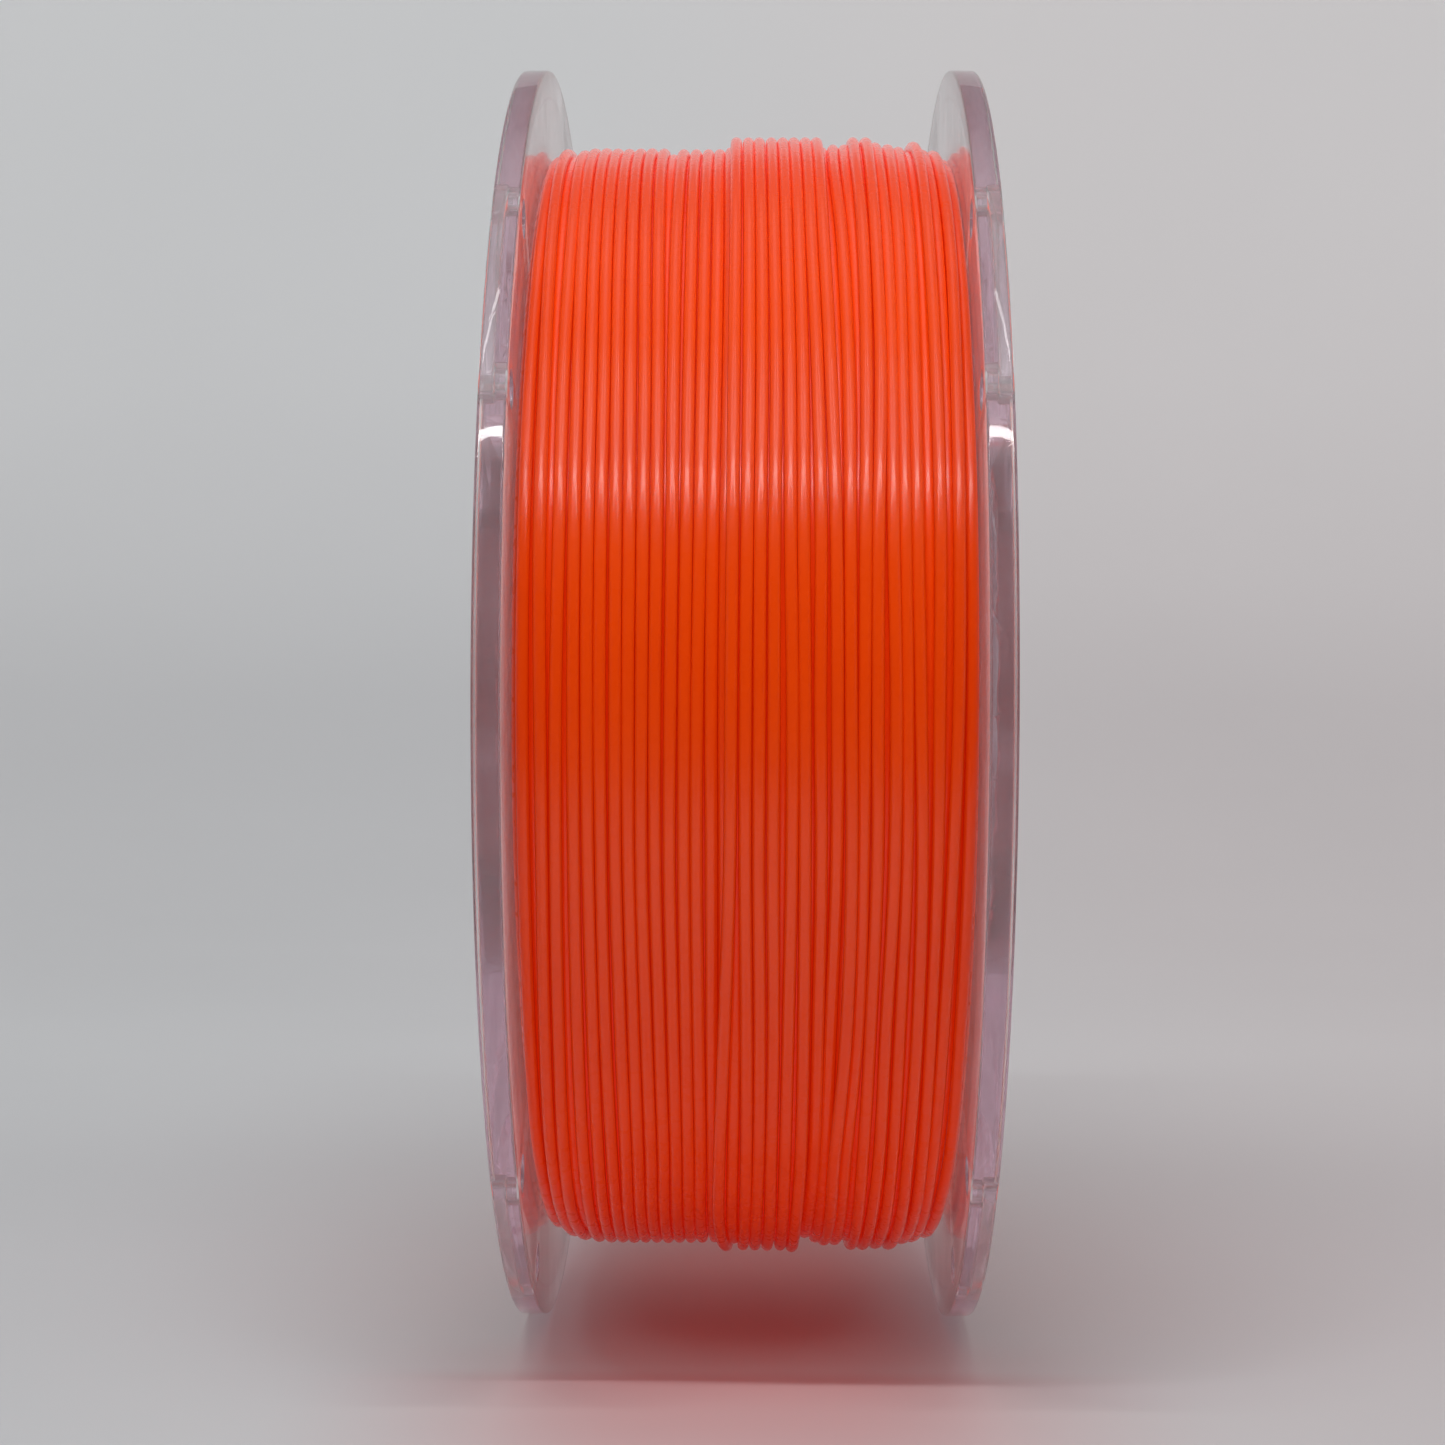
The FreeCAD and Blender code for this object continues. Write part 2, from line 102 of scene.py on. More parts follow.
def grid_object(name, rings, closed_along=False, closed_round=True, caps=False, smooth=True, sharp=None):
    """rings: array (n, m, 3) of points in millimetres, joined into quads."""
    rings = np.asarray(rings, float)
    n, m = rings.shape[:2]
    verts = rings.reshape(-1, 3) * MM
    faces = []
    last = n if closed_along else n - 1
    ends = m if closed_round else m - 1
    for i in range(last):
        a, b = i * m, ((i + 1) % n) * m
        for j in range(ends):
            k = (j + 1) % m
            faces.append((a + j, b + j, b + k, a + k))
    if caps and not closed_along:
        faces.append(tuple(range(m - 1, -1, -1)))
        faces.append(tuple((n - 1) * m + j for j in range(m)))
    return make_object(name, verts, faces, smooth, sharp)


def lathe_rings(profile, steps, start=0.0):
    """profile: (x, r) points of a closed outline; returns rings turned about X."""
    angles = np.radians(start) + np.linspace(0, 2 * np.pi, steps, endpoint=False)
    p = np.asarray(profile, float)
    out = np.empty((steps, len(p), 3))
    out[:, :, 0] = p[:, 0][None]
    out[:, :, 1] = -p[:, 1][None] * np.cos(angles)[:, None]
    out[:, :, 2] = p[:, 1][None] * np.sin(angles)[:, None]
    return out


def rounded(points, radii, seg=4):
    """Rounds the corners of a closed outline."""
    out, n = [], len(points)
    for i in range(n):
        b = np.array(points[i], float)
        r = radii[i]
        if r <= 0:
            out.append(tuple(b))
            continue
        a, c = np.array(points[i - 1], float), np.array(points[(i + 1) % n], float)
        u, w = (a - b) / np.linalg.norm(a - b), (c - b) / np.linalg.norm(c - b)
        turn = math.acos(float(np.clip(u @ w, -1, 1)))
        cut = r / math.tan(turn / 2)
        mid = (u + w) / np.linalg.norm(u + w)
        centre = b + mid * (r / math.sin(turn / 2))
        p0, p1 = b + u * cut - centre, b + w * cut - centre
        a0, a1 = math.atan2(p0[1], p0[0]), math.atan2(p1[1], p1[0])
        d = (a1 - a0 + math.pi) % (2 * math.pi) - math.pi
        for k in range(seg + 1):
            q = a0 + d * k / seg
            out.append((centre[0] + r * math.cos(q), centre[1] + r * math.sin(q)))
    return out


def outward(obj):
    """Makes a closed mesh's normals point out."""
    bm = bmesh.new()
    bm.from_mesh(obj.data)
    bmesh.ops.recalc_face_normals(bm, faces=bm.faces)
    if bm.calc_volume(signed=True) < 0:
        bmesh.ops.reverse_faces(bm, faces=bm.faces)
    bm.to_mesh(obj.data)
    bm.free()


def solid_from(name, pieces):
    """Joins closed bits, given as (verts in mm, faces), into one cutter or body."""
    verts, faces = [], []
    for v, f in pieces:
        base = len(verts)
        verts += [tuple(np.asarray(p, float) * MM) for p in v]
        faces += [tuple(base + i for i in q) for q in f]
    obj = make_object(name, verts, faces, smooth=False)
    outward(obj)
    return obj


def lofted(sections):
    """A closed bar through sections with the same number of points."""
    m = len(sections[0])
    v = [q for section in sections for q in section]
    f = []
    for i in range(len(sections) - 1):
        for k in range(m):
            n = (k + 1) % m
            f.append((i * m + k, i * m + n, (i + 1) * m + n, (i + 1) * m + k))
    f.append(tuple(range(m - 1, -1, -1)))
    f.append(tuple(range((len(sections) - 1) * m, len(sections) * m)))
    return v, f


def slot_section(x, mid, half, r0, r1, grow):
    """One section, at x, of a curved slot with round ends, made larger all round by grow."""
    out = []
    rm, e = (r0 + r1) / 2, (r1 - r0) / 2 + grow
    for k in range(33):
        t = mid - half + 2 * half * k / 32
        out.append(polar(t, x, rm + e))
    for end, s in ((mid + half, 1), (mid - half, -1)):
        a = math.radians(end)
        er, et = np.array([0, -math.cos(a), math.sin(a)]), np.array([0, math.sin(a), math.cos(a)])
        for k in range(1, 20):
            q = math.pi * k / 20
            across = e * math.cos(q) if s > 0 else -e * math.cos(q)
            out.append(tuple(np.array([x, 0, 0]) + er * (rm + across) + et * (s * e * math.sin(q))))
        if s > 0:
            for k in range(33):
                t = mid + half - 2 * half * k / 32
                out.append(polar(t, x, rm - e))
    return out


def hole_section(x, t, r, radius, steps=40):
    c = np.array(polar(t, 0, r))
    return [(x, c[1] + radius * math.cos(2 * math.pi * k / steps), c[2] + radius * math.sin(2 * math.pi * k / steps))
            for k in range(steps)]


def block_at(t, x0, x1, r0, r1, half_across):
    """A straight-sided block standing on the spool's radius at angle t."""
    a = math.radians(t)
    er, et = np.array([0, -math.cos(a), math.sin(a)]), np.array([0, math.sin(a), math.cos(a)])
    v = []
    for x in (x0, x1):
        for r in (r0, r1):
            for s in (-half_across, half_across):
                v.append(np.array([x, 0, 0]) + er * r + et * s)
    return v, [(0, 1, 3, 2), (4, 6, 7, 5), (0, 4, 5, 1), (2, 3, 7, 6), (0, 2, 6, 4), (1, 5, 7, 3)]


def boolean(obj, other, operation, solver="EXACT"):
    mod = obj.modifiers.new("cut", "BOOLEAN")
    mod.operation, mod.object, mod.solver = operation, other, solver
    bpy.context.view_layer.update()
    dg = bpy.context.evaluated_depsgraph_get()
    mesh = bpy.data.meshes.new_from_object(obj.evaluated_get(dg))
    obj.modifiers.clear()
    old, obj.data = obj.data, mesh
    bpy.data.meshes.remove(old)
    gone = other.data
    bpy.data.objects.remove(other)
    bpy.data.meshes.remove(gone)


def finish_hard(obj, angle=35.0):
    obj.data.shade_smooth()
    obj.data.set_sharp_from_angle(angle=math.radians(angle))


# ------------------------------------------------------------------ materials
def new_material(name):
    mat = bpy.data.materials.new(name)
    mat.use_nodes = True
    nt = mat.node_tree
    for n in list(nt.nodes):
        nt.nodes.remove(n)
    out = nt.nodes.new("ShaderNodeOutputMaterial")
    return mat, nt, out


def node(nt, kind, **values):
    n = nt.nodes.new(kind)
    for key, value in values.items():
        if key in n.inputs:
            n.inputs[key].default_value = value
        else:
            setattr(n, key, value)
    return n


# How much light a face of the clear plastic lets through, by one minus the cosine of its angle
THROUGH = [(0.0, 0.955), (0.5, 0.91), (0.66, 0.83), (0.83, 0.61), (0.92, 0.36), (1.0, 0.02)]


def clear_plastic(name, roughness, ripple, seed, face=0.08, density=3.4, haze=0.06):
    """Polished clear plastic: a faint lilac tint that only shows through a long way of it."""
    mat, nt, out = new_material(name)
    link = nt.links.new
    coord = node(nt, "ShaderNodeTexCoord")
    glass = node(nt, "ShaderNodeBsdfPrincipled")
    glass.inputs["Base Color"].default_value = (0.985, 0.98, 0.985, 1)
    glass.inputs["Transmission Weight"].default_value = 1.0 - haze
    glass.inputs["IOR"].default_value = 1.52

    # Fine handling marks: patches where the polish is a little duller
    spots = node(nt, "ShaderNodeTexNoise", noise_dimensions="4D")
    spots.inputs["Scale"].default_value = 140.0
    spots.inputs["Detail"].default_value = 5.0
    spots.inputs["Roughness"].default_value = 0.6
    spots.inputs["W"].default_value = seed
    ramp = node(nt, "ShaderNodeMapRange")
    ramp.inputs["From Min"].default_value = 0.42
    ramp.inputs["From Max"].default_value = 0.72
    ramp.inputs["To Min"].default_value = roughness
    ramp.inputs["To Max"].default_value = roughness + 0.05
    link(coord.outputs["Object"], spots.inputs["Vector"])
    link(spots.outputs["Fac"], ramp.inputs["Value"])
    # The face that the winding rubs on is duller than the rim
    axes = node(nt, "ShaderNodeSeparateXYZ")
    link(coord.outputs["Object"], axes.inputs[0])
    away = node(nt, "ShaderNodeMath", operation="ABSOLUTE")
    link(axes.outputs["X"], away.inputs[0])
    rubbed = node(nt, "ShaderNodeMapRange")
    rubbed.inputs["From Min"].default_value = 0.03120
    rubbed.inputs["From Max"].default_value = 0.03145
    rubbed.inputs["To Min"].default_value = face
    rubbed.inputs["To Max"].default_value = 0.0
    link(away.outputs[0], rubbed.inputs["Value"])
    total = node(nt, "ShaderNodeMath", operation="ADD")
    link(ramp.outputs["Result"], total.inputs[0])
    link(rubbed.outputs["Result"], total.inputs[1])
    link(total.outputs[0], glass.inputs["Roughness"])

    # Slow waves of the moulded face, and hairline scratches
    waves = node(nt, "ShaderNodeTexNoise", noise_dimensions="4D")
    waves.inputs["Scale"].default_value = 95.0
    waves.inputs["Detail"].default_value = 2.0
    waves.inputs["W"].default_value = seed + 3.1
    link(coord.outputs["Object"], waves.inputs["Vector"])
    bump_a = node(nt, "ShaderNodeBump")
    bump_a.inputs["Strength"].default_value = ripple
    bump_a.inputs["Distance"].default_value = 0.00035
    link(waves.outputs["Fac"], bump_a.inputs["Height"])
    marks = node(nt, "ShaderNodeTexVoronoi", voronoi_dimensions="3D", feature="DISTANCE_TO_EDGE")
    marks.inputs["Scale"].default_value = 55.0
    mapping = node(nt, "ShaderNodeMapping")
    mapping.inputs["Scale"].default_value = (1.0, 0.35, 2.4)
    mapping.inputs["Rotation"].default_value = (0.7, 0.2, 0.0)
    link(coord.outputs["Object"], mapping.inputs["Vector"])
    link(mapping.outputs["Vector"], marks.inputs["Vector"])
    thin = node(nt, "ShaderNodeMapRange")
    thin.inputs["From Min"].default_value = 0.0
    thin.inputs["From Max"].default_value = 0.012
    thin.inputs["To Min"].default_value = 0.0
    thin.inputs["To Max"].default_value = 1.0
    link(marks.outputs["Distance"], thin.inputs["Value"])
    bump_b = node(nt, "ShaderNodeBump")
    bump_b.inputs["Strength"].default_value = 0.10
    bump_b.inputs["Distance"].default_value = 0.00002
    link(thin.outputs["Result"], bump_b.inputs["Height"])
    link(bump_a.outputs["Normal"], bump_b.inputs["Normal"])
    link(bump_b.outputs["Normal"], glass.inputs["Normal"])

    # Lamps, and light scattered by what stands near, pass through the clear walls, less so where they graze them
    clear = node(nt, "ShaderNodeBsdfTransparent")
    facing = node(nt, "ShaderNodeLayerWeight")
    facing.inputs["Blend"].default_value = 0.5
    graze = node(nt, "ShaderNodeValToRGB")
    els = graze.color_ramp.elements
    while len(els) < len(THROUGH):
        els.new(0.5)
    for e, (pos, v) in zip(els, THROUGH):
        e.position = pos
        e.color = (v, v * 0.985, v * 1.005, 1)
    link(facing.outputs["Facing"], graze.inputs["Fac"])
    link(graze.outputs["Color"], clear.inputs["Color"])
    path = node(nt, "ShaderNodeLightPath")
    inner = node(nt, "ShaderNodeMixShader")
    link(path.outputs["Is Diffuse Ray"], inner.inputs[0])
    link(glass.outputs[0], inner.inputs[1])
    link(clear.outputs[0], inner.inputs[2])
    mix = node(nt, "ShaderNodeMixShader")
    link(path.outputs["Is Shadow Ray"], mix.inputs[0])
    link(inner.outputs[0], mix.inputs[1])
    link(clear.outputs[0], mix.inputs[2])
    link(mix.outputs[0], out.inputs["Surface"])

    body = node(nt, "ShaderNodeVolumeAbsorption")
    body.inputs["Color"].default_value = (0.74, 0.08, 0.45, 1)
    body.inputs["Density"].default_value = density
    link(body.outputs[0], out.inputs["Volume"])
    return mat


# Painted glow by height in metres: red emission on the strands that stands in for light spread inside them, most where
# the light falls in, next to none underneath
PAINTED_GLOW = [(-0.0885, 0.17), (-0.084, 0.25), (-0.07, 0.255), (-0.04, 0.255), (0.0, 0.265), (0.045, 0.295), (0.07, 0.37), (0.088, 0.58)]


def filament_material(name, facing, flat, painted_glow_share=1.0):
    """Neon orange filament: light spreads inside each strand, so its body looks flatter than it is round and only its
    smooth skin shines by its true shape. facing is the axis scale that leads from a point to where the winding faces."""
    mat, nt, out = new_material(name)
    link = nt.links.new
    coord = node(nt, "ShaderNodeTexCoord")
    p = node(nt, "ShaderNodeBsdfPrincipled")
    tone = node(nt, "ShaderNodeTexNoise")
    tone.inputs["Scale"].default_value = 90.0
    tone.inputs["Detail"].default_value = 3.0
    link(coord.outputs["Object"], tone.inputs["Vector"])
    ramp = node(nt, "ShaderNodeValToRGB")
    ramp.color_ramp.elements[0].position = 0.30
    ramp.color_ramp.elements[0].color = (0.84, 0.080, 0.0002, 1)
    ramp.color_ramp.elements[1].position = 0.72
    ramp.color_ramp.elements[1].color = (0.87, 0.088, 0.0004, 1)
    link(tone.outputs["Fac"], ramp.inputs["Fac"])
    link(ramp.outputs["Color"], p.inputs["Base Color"])
    gloss = node(nt, "ShaderNodeTexNoise")
    gloss.inputs["Scale"].default_value = 420.0
    gloss.inputs["Detail"].default_value = 4.0
    link(coord.outputs["Object"], gloss.inputs["Vector"])
    rough = node(nt, "ShaderNodeMapRange")
    rough.inputs["From Min"].default_value = 0.3
    rough.inputs["From Max"].default_value = 0.7
    rough.inputs["To Min"].default_value = 0.24
    rough.inputs["To Max"].default_value = 0.34
    link(gloss.outputs["Fac"], rough.inputs["Value"])
    link(rough.outputs["Result"], p.inputs["Roughness"])
    p.inputs["IOR"].default_value = 1.46
    p.inputs["Specular IOR Level"].default_value = 0.05
    p.inputs["Coat Weight"].default_value = 1.0
    p.inputs["Coat Roughness"].default_value = 0.2
    p.inputs["Coat IOR"].default_value = 1.46
    # Painted glow: a little red emission of the strands' own, also deep between the turns, standing in for light spread
    # inside the strands and bounced between them
    p.inputs["Emission Color"].default_value = (1.0, 0.012, 0.0, 1)
    axes = node(nt, "ShaderNodeSeparateXYZ")
    link(coord.outputs["Object"], axes.inputs[0])
    up = node(nt, "ShaderNodeMapRange")
    up.inputs["From Min"].default_value = -0.1
    up.inputs["From Max"].default_value = 0.1
    link(axes.outputs["Z"], up.inputs["Value"])
    painted_glow_ramp = node(nt, "ShaderNodeValToRGB")
    els = painted_glow_ramp.color_ramp.elements
    while len(els) < len(PAINTED_GLOW):
        els.new(0.5)
    for e, (z, v) in zip(els, PAINTED_GLOW):
        e.position = (z + 0.1) / 0.2
        e.color = (v * painted_glow_share, v * painted_glow_share, v * painted_glow_share, 1)
    link(up.outputs["Result"], painted_glow_ramp.inputs["Fac"])
    link(painted_glow_ramp.outputs["Color"], p.inputs["Emission Strength"])
    grain = node(nt, "ShaderNodeTexNoise")
    grain.inputs["Scale"].default_value = 1500.0
    grain.inputs["Detail"].default_value = 3.0
    link(coord.outputs["Object"], grain.inputs["Vector"])
    bump = node(nt, "ShaderNodeBump")
    bump.inputs["Strength"].default_value = 0.10
    bump.inputs["Distance"].default_value = 0.00003
    link(grain.outputs["Fac"], bump.inputs["Height"])
    link(bump.outputs["Normal"], p.inputs["Coat Normal"])
    away = node(nt, "ShaderNodeVectorMath", operation="MULTIPLY")
    away.inputs[1].default_value = facing
    link(coord.outputs["Object"], away.inputs[0])
    unit = node(nt, "ShaderNodeVectorMath", operation="NORMALIZE")
    link(away.outputs[0], unit.inputs[0])
    blend = node(nt, "ShaderNodeMix", data_type="VECTOR")
    blend.inputs[0].default_value = flat
    shape = node(nt, "ShaderNodeNewGeometry")
    link(shape.outputs["Normal"], blend.inputs[4])
    link(unit.outputs[0], blend.inputs[5])
    level = node(nt, "ShaderNodeVectorMath", operation="NORMALIZE")
    link(blend.outputs[1], level.inputs[0])
    link(level.outputs[0], p.inputs["Normal"])
    link(p.outputs[0], out.inputs["Surface"])
    return mat


CLEAR_LEFT = clear_plastic("clear_plastic_left", 0.02, 0.18, 1.7, haze=0.09)
CLEAR_RIGHT = clear_plastic("clear_plastic_right", 0.02, 0.18, 8.3, haze=0.09)
CLEAR_HUB = clear_plastic("clear_plastic_hub", 0.06, 0.15, 4.4)
ORANGE = filament_material("filament_orange", (0.0, 1.0, 1.0), 0.75)
# The strands against the flanges get three quarters of the painted glow
ORANGE_SIDE = filament_material("filament_orange_side", (1.0, 0.0, 0.0), 0.6, 0.75)


def dress(obj, material, slot, *nodes):
    obj.data.materials.clear()
    obj.data.materials.append(material)
    if nodes:
        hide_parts(*nodes)
    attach(obj, ROOT)
    return obj


# ------------------------------------------------------------------ flanges
RECESS_MIDS = (34.7, 124.7, -145.3, -55.3)
HOLE_HALF = 9.6
HOOKS = (-55.3, 64.7, -175.3)


def flange(name, side, material, cad_node):
    outline = [
        (31.15, 30.05), (31.15, 44.9), (21.15, 44.9), (21.15, 47.5), (31.15, 47.5), (31.15, 100.0),
        (35.0, 100.0), (35.0, 95.5), (34.35, 95.5), (34.35, 38.0), (34.75, 38.0), (34.75, 30.05),
    ]
    radii = [0.15, 0.2, 0.2, 0.5, 0.15, 0.38, 0.5, 0.2, 0.3, 0.15, 0.15, 0.2]
    profile = [(x * side, r) for x, r in rounded(outline, radii, 4)]
    obj = grid_object(name, lathe_rings(profile, 512), closed_along=True)
    outward(obj)
    hooks = solid_from(name + "_hooks", [
        block_at(t, 23.2 * side, 25.8 * side, 46.6, 48.5, 3.5) for t in HOOKS])
    boolean(obj, hooks, "UNION")
    slots, holes = [], []
    for mid in RECESS_MIDS:
        slots.append(lofted([slot_section(x * side, mid, HOLE_HALF, 91.3, 97.7, g) for x, g in (
            (33.1, -0.3), (33.19, -0.09), (33.4, 0.0), (34.7, 0.0), (34.92, 0.09), (35.01, 0.3), (36.0, 1.3))]))
        for s in (-1, 1):
            holes.append(lofted([hole_section(x * side, mid + s * HOLE_HALF, 94.5, q) for x, q in (
                (30.2, 3.77), (31.14, 2.83), (31.24, 2.73), (31.4, 2.7), (32.9, 2.7), (33.05, 2.76), (33.2, 2.9),
                (34.4, 3.05))]))
    boolean(obj, solid_from(name + "_slots", slots), "DIFFERENCE")
    boolean(obj, solid_from(name + "_holes", holes), "DIFFERENCE")
    finish_hard(obj)
    return dress(obj, material, "clear_plastic", cad_node)


left = flange("left_flange_clear", -1, CLEAR_LEFT, "left_flange")
right = flange("right_flange_clear", 1, CLEAR_RIGHT, "right_flange")

# ------------------------------------------------------------------ spindle tube and barrel
tube_outline = [(-35.0, 27.5), (35.0, 27.5), (35.0, 30.0), (31.12, 30.0), (31.12, 32.5),
                (-31.12, 32.5), (-31.12, 30.0), (-35.0, 30.0)]
tube_profile = rounded(tube_outline, [0.5, 0.5, 0.25, 0.1, 0.25, 0.25, 0.1, 0.25], 3)
spindle = grid_object("spindle_tube_clear", lathe_rings(tube_profile, 256), closed_along=True)
outward(spindle)
finish_hard(spindle)
dress(spindle, CLEAR_HUB, "clear_plastic", "spindle_tube")

wall = rounded([(-31.1, 47.6), (31.1, 47.6), (31.1, 50.0), (-31.1, 50.0)], [0.15, 0.15, 0.2, 0.2], 3)
barrel = grid_object("hub_barrel_clear", lathe_rings(wall, 256), closed_along=True)
outward(barrel)
web = grid_object("web_cutter", lathe_rings([(-0.9, 32.62), (0.9, 32.62), (0.9, 48.3), (-0.9, 48.3)], 256),
                  closed_along=True, smooth=False)
outward(web)
boolean(barrel, web, "UNION")
ribs = solid_from("rib_cutter", [block_at(34.7 + 60 * k, -20.8, 20.8, 32.62, 48.2, 0.9) for k in range(6)])
boolean(barrel, ribs, "UNION")
windows = solid_from("window_cutter", [
    block_at(t, s * 22.8, s * 26.2, 44.0, 53.0, 3.9) for t in HOOKS for s in (-1, 1)])
boolean(barrel, windows, "DIFFERENCE")
a = math.radians(-55.3)
hole_v, hole_f = [], []
er, et = np.array([0, -math.cos(a), math.sin(a)]), np.array([0, math.sin(a), math.cos(a)])
for r in (44.0, 53.0):
    for k in range(32):
        q = 2 * math.pi * k / 32
        hole_v.append(np.array([-12.0, 0, 0]) + er * r + et * (2.25 * math.cos(q)) + np.array([2.25 * math.sin(q), 0, 0]))
for k in range(32):
    m = (k + 1) % 32
    hole_f.append((k, m, 32 + m, 32 + k))
hole_f += [tuple(range(31, -1, -1)), tuple(range(32, 64))]
boolean(barrel, solid_from("start_hole_cutter", [(hole_v, hole_f)]), "DIFFERENCE")
finish_hard(barrel)
dress(barrel, CLEAR_HUB, "clear_plastic", "hub_barrel")

# ------------------------------------------------------------------ wound filament
DIA = 1.75
RAD = DIA / 2
rng = random.Random(11)

# Where each turn of the outer layer lies along the axis, in millimetres, at ten angles round the front, and how
# far its crest stands off the layer's own at the top, upper front, front, lower front and bottom.
AT = (80.0, 64.6, 45.3, 28.8, 13.3, -0.7, -14.6, -30.5, -49.6, -59.5, -80.0)
OFF_AT = (80.0, 45.0, 0.0, -45.0, -80.0)
OUTER = [
    ((-29.9, -29.75, -29.6, -29.6, -29.6, -29.55, -29.5, -29.6, -29.8, -29.6, -29.2), (-1.3, -0.9, -0.7, -1.3, -2.3)),
    ((-28.6, -28.4, -27.95, -27.55, -27.45, -27.15, -27.05, -27.4, -27.85, -27.8, -26.9), (-0.1, -0.2, -0.2, -0.4, -0.95)),
    ((-25.9, -25.6, -25.1, -24.95, -24.85, -25.05, -25.2, -25.5, -26.0, -26.1, -25.3), (-0.3, -0.1, 0.0, -0.1, -0.4)),
    ((-24.3, -24.0, -23.45, -23.0, -22.85, -22.75, -22.75, -22.9, -23.2, -23.3, -23.2), (0.0, 0.0, 0.1, 0.1, -0.1)),
    ((-22.5, -22.2, -21.7, -21.2, -21.05, -20.95, -20.9, -20.85, -21.05, -21.2, -21.3), (0.05, 0.0, 0.0, 0.0, 0.0)),
    ((-20.7, -20.45, -19.95, -19.4, -19.3, -19.25, -19.15, -19.1, -19.1, -19.25, -19.5), (0.0, 0.0, -0.05, 0.0, 0.0)),
    ((-18.9, -18.7, -18.15, -17.6, -17.3, -17.2, -17.25, -17.05, -17.1, -17.45, -17.7), (-0.05, 0.05, 0.05, 0.0, 0.05)),
    ((-17.1, -16.95, -16.35, -15.8, -15.5, -15.5, -15.5, -15.25, -15.35, -15.65, -15.9), (0.0, 0.0, -0.05, -0.05, 0.0)),
    ((-15.3, -15.1, -14.5, -13.85, -13.7, -13.7, -13.8, -13.5, -13.5, -13.85, -14.1), (0.05, 0.0, 0.0, 0.05, 0.0)),
    ((-13.4, -13.2, -12.6, -12.05, -11.85, -11.95, -11.95, -11.7, -11.7, -12.05, -12.3), (0.0, -0.05, 0.0, 0.0, 0.05)),
    ((-10.3, -10.2, -10.15, -9.95, -9.8, -9.9, -10.05, -9.85, -9.9, -10.2, -10.5), (-0.1, 0.0, 0.05, 0.0, 0.0)),
    ((-8.3, -8.2, -7.95, -7.85, -7.9, -8.05, -8.15, -8.05, -8.15, -8.4, -8.7), (-0.1, 0.0, 0.0, 0.0, 0.0)),
    ((-6.4, -6.25, -6.05, -6.0, -6.1, -6.35, -6.45, -6.35, -6.4, -6.7, -6.9), (-0.1, 0.05, 0.0, 0.0, -0.05)),
    ((-4.6, -4.5, -4.2, -4.2, -4.4, -4.5, -4.45, -4.5, -4.6, -4.75, -4.9), (-0.1, 0.0, 0.0, -0.1, -0.1)),
    ((-2.0, -1.85, -1.7, -1.7, -1.75, -1.85, -2.0, -2.75, -3.7, -3.95, -3.0), (1.75, 1.55, 1.45, 1.5, 1.25)),
    ((-0.1, 0.0, 0.28, 0.35, 0.18, 0.05, 0.05, 0.27, 0.2, 0.0, -0.5), (1.75, 1.5, 1.45, 1.4, 1.1)),
    ((1.6, 1.73, 2.03, 2.14, 1.93, 1.9, 1.84, 2.08, 1.95, 1.7, 1.4), (1.75, 1.5, 1.45, 1.4, 1.1)),
    ((3.5, 3.6, 3.82, 4.05, 3.83, 3.8, 3.75, 3.95, 3.76, 3.7, 3.3), (1.75, 1.5, 1.5, 1.4, 1.15)),
    ((5.3, 5.4, 5.6, 5.9, 5.95, 6.25, 6.25, 5.96, 5.73, 5.65, 5.4), (1.75, 1.5, 1.4, 1.4, 1.1)),
    ((7.05, 7.1, 7.35, 7.65, 7.7, 7.9, 8.0, 8.05, 7.95, 7.65, 7.2), (1.75, 1.5, 1.4, 1.4, 1.35)),
    ((8.85, 8.9, 9.1, 9.65, 10.0, 9.9, 10.15, 10.0, 9.9, 9.6, 9.2), (1.75, 1.55, 1.35, 0.4, -0.95)),
    ((10.6, 10.6, 10.85, 11.45, 12.0, 12.15, 12.2, 11.75, 11.5, 11.3, 10.9), (1.75, 1.6, 1.3, 0.1, -0.2)),
    ((13.3, 12.8, 13.5, 13.9, 13.87, 13.95, 14.2, 13.88, 12.75, 12.7, 12.2), (0.6, 0.9, 1.2, 1.45, 0.2)),
    ((16.4, 16.1, 16.4, 16.3, 15.9, 15.75, 15.75, 15.5, 14.4, 14.3, 14.0), (1.75, 1.5, 1.0, 0.6, 0.2)),
    ((18.4, 18.15, 18.2, 18.2, 17.6, 17.5, 17.6, 17.2, 16.9, 16.85, 16.6), (1.75, 1.4, 1.1, 0.8, 0.95)),
    ((19.9, 19.65, 19.8, 19.75, 19.6, 19.9, 19.9, 19.3, 19.15, 18.9, 18.4), (0.95, 0.8, 1.0, 0.9, 0.95)),
]
# The turns of the layer below that show at the right, beyond the last turn
RIGHT = [
    ((21.9, 21.5, 21.45, 21.2, 21.2, 21.4, 21.55, 21.2, 21.15, 21.05, 20.4), (0.7, 0.6, 0.6, 0.7, 0.8)),
    ((23.6, 23.05, 23.05, 22.85, 22.85, 23.15, 23.6, 23.6, 23.3, 23.3, 22.5), (0.3, 0.3, 0.5, 0.8, 0.9)),
    ((25.9, 25.85, 25.75, 25.8, 25.85, 25.65, 25.65, 25.45, 25.45, 25.4, 24.5), (1.1, 0.6, 0.3, 0.2, 0.0)),
    ((29.0, 28.9, 28.85, 28.55, 28.4, 28.2, 27.7, 27.25, 26.95, 26.8, 26.1), (-0.3, -0.2, 0.0, -0.1, -0.3)),
    ((30.2, 30.2, 30.15, 30.1, 30.1, 30.0, 29.8, 29.55, 29.4, 29.0, 28.2), (-1.6, -1.3, -0.8, -0.7, -1.0)),
]


def crest(t):
    """The outer layer's own crest, a little nearer the axis at the top than at the bottom."""
    return 88.5 - 0.45 * np.sin(np.radians(t))


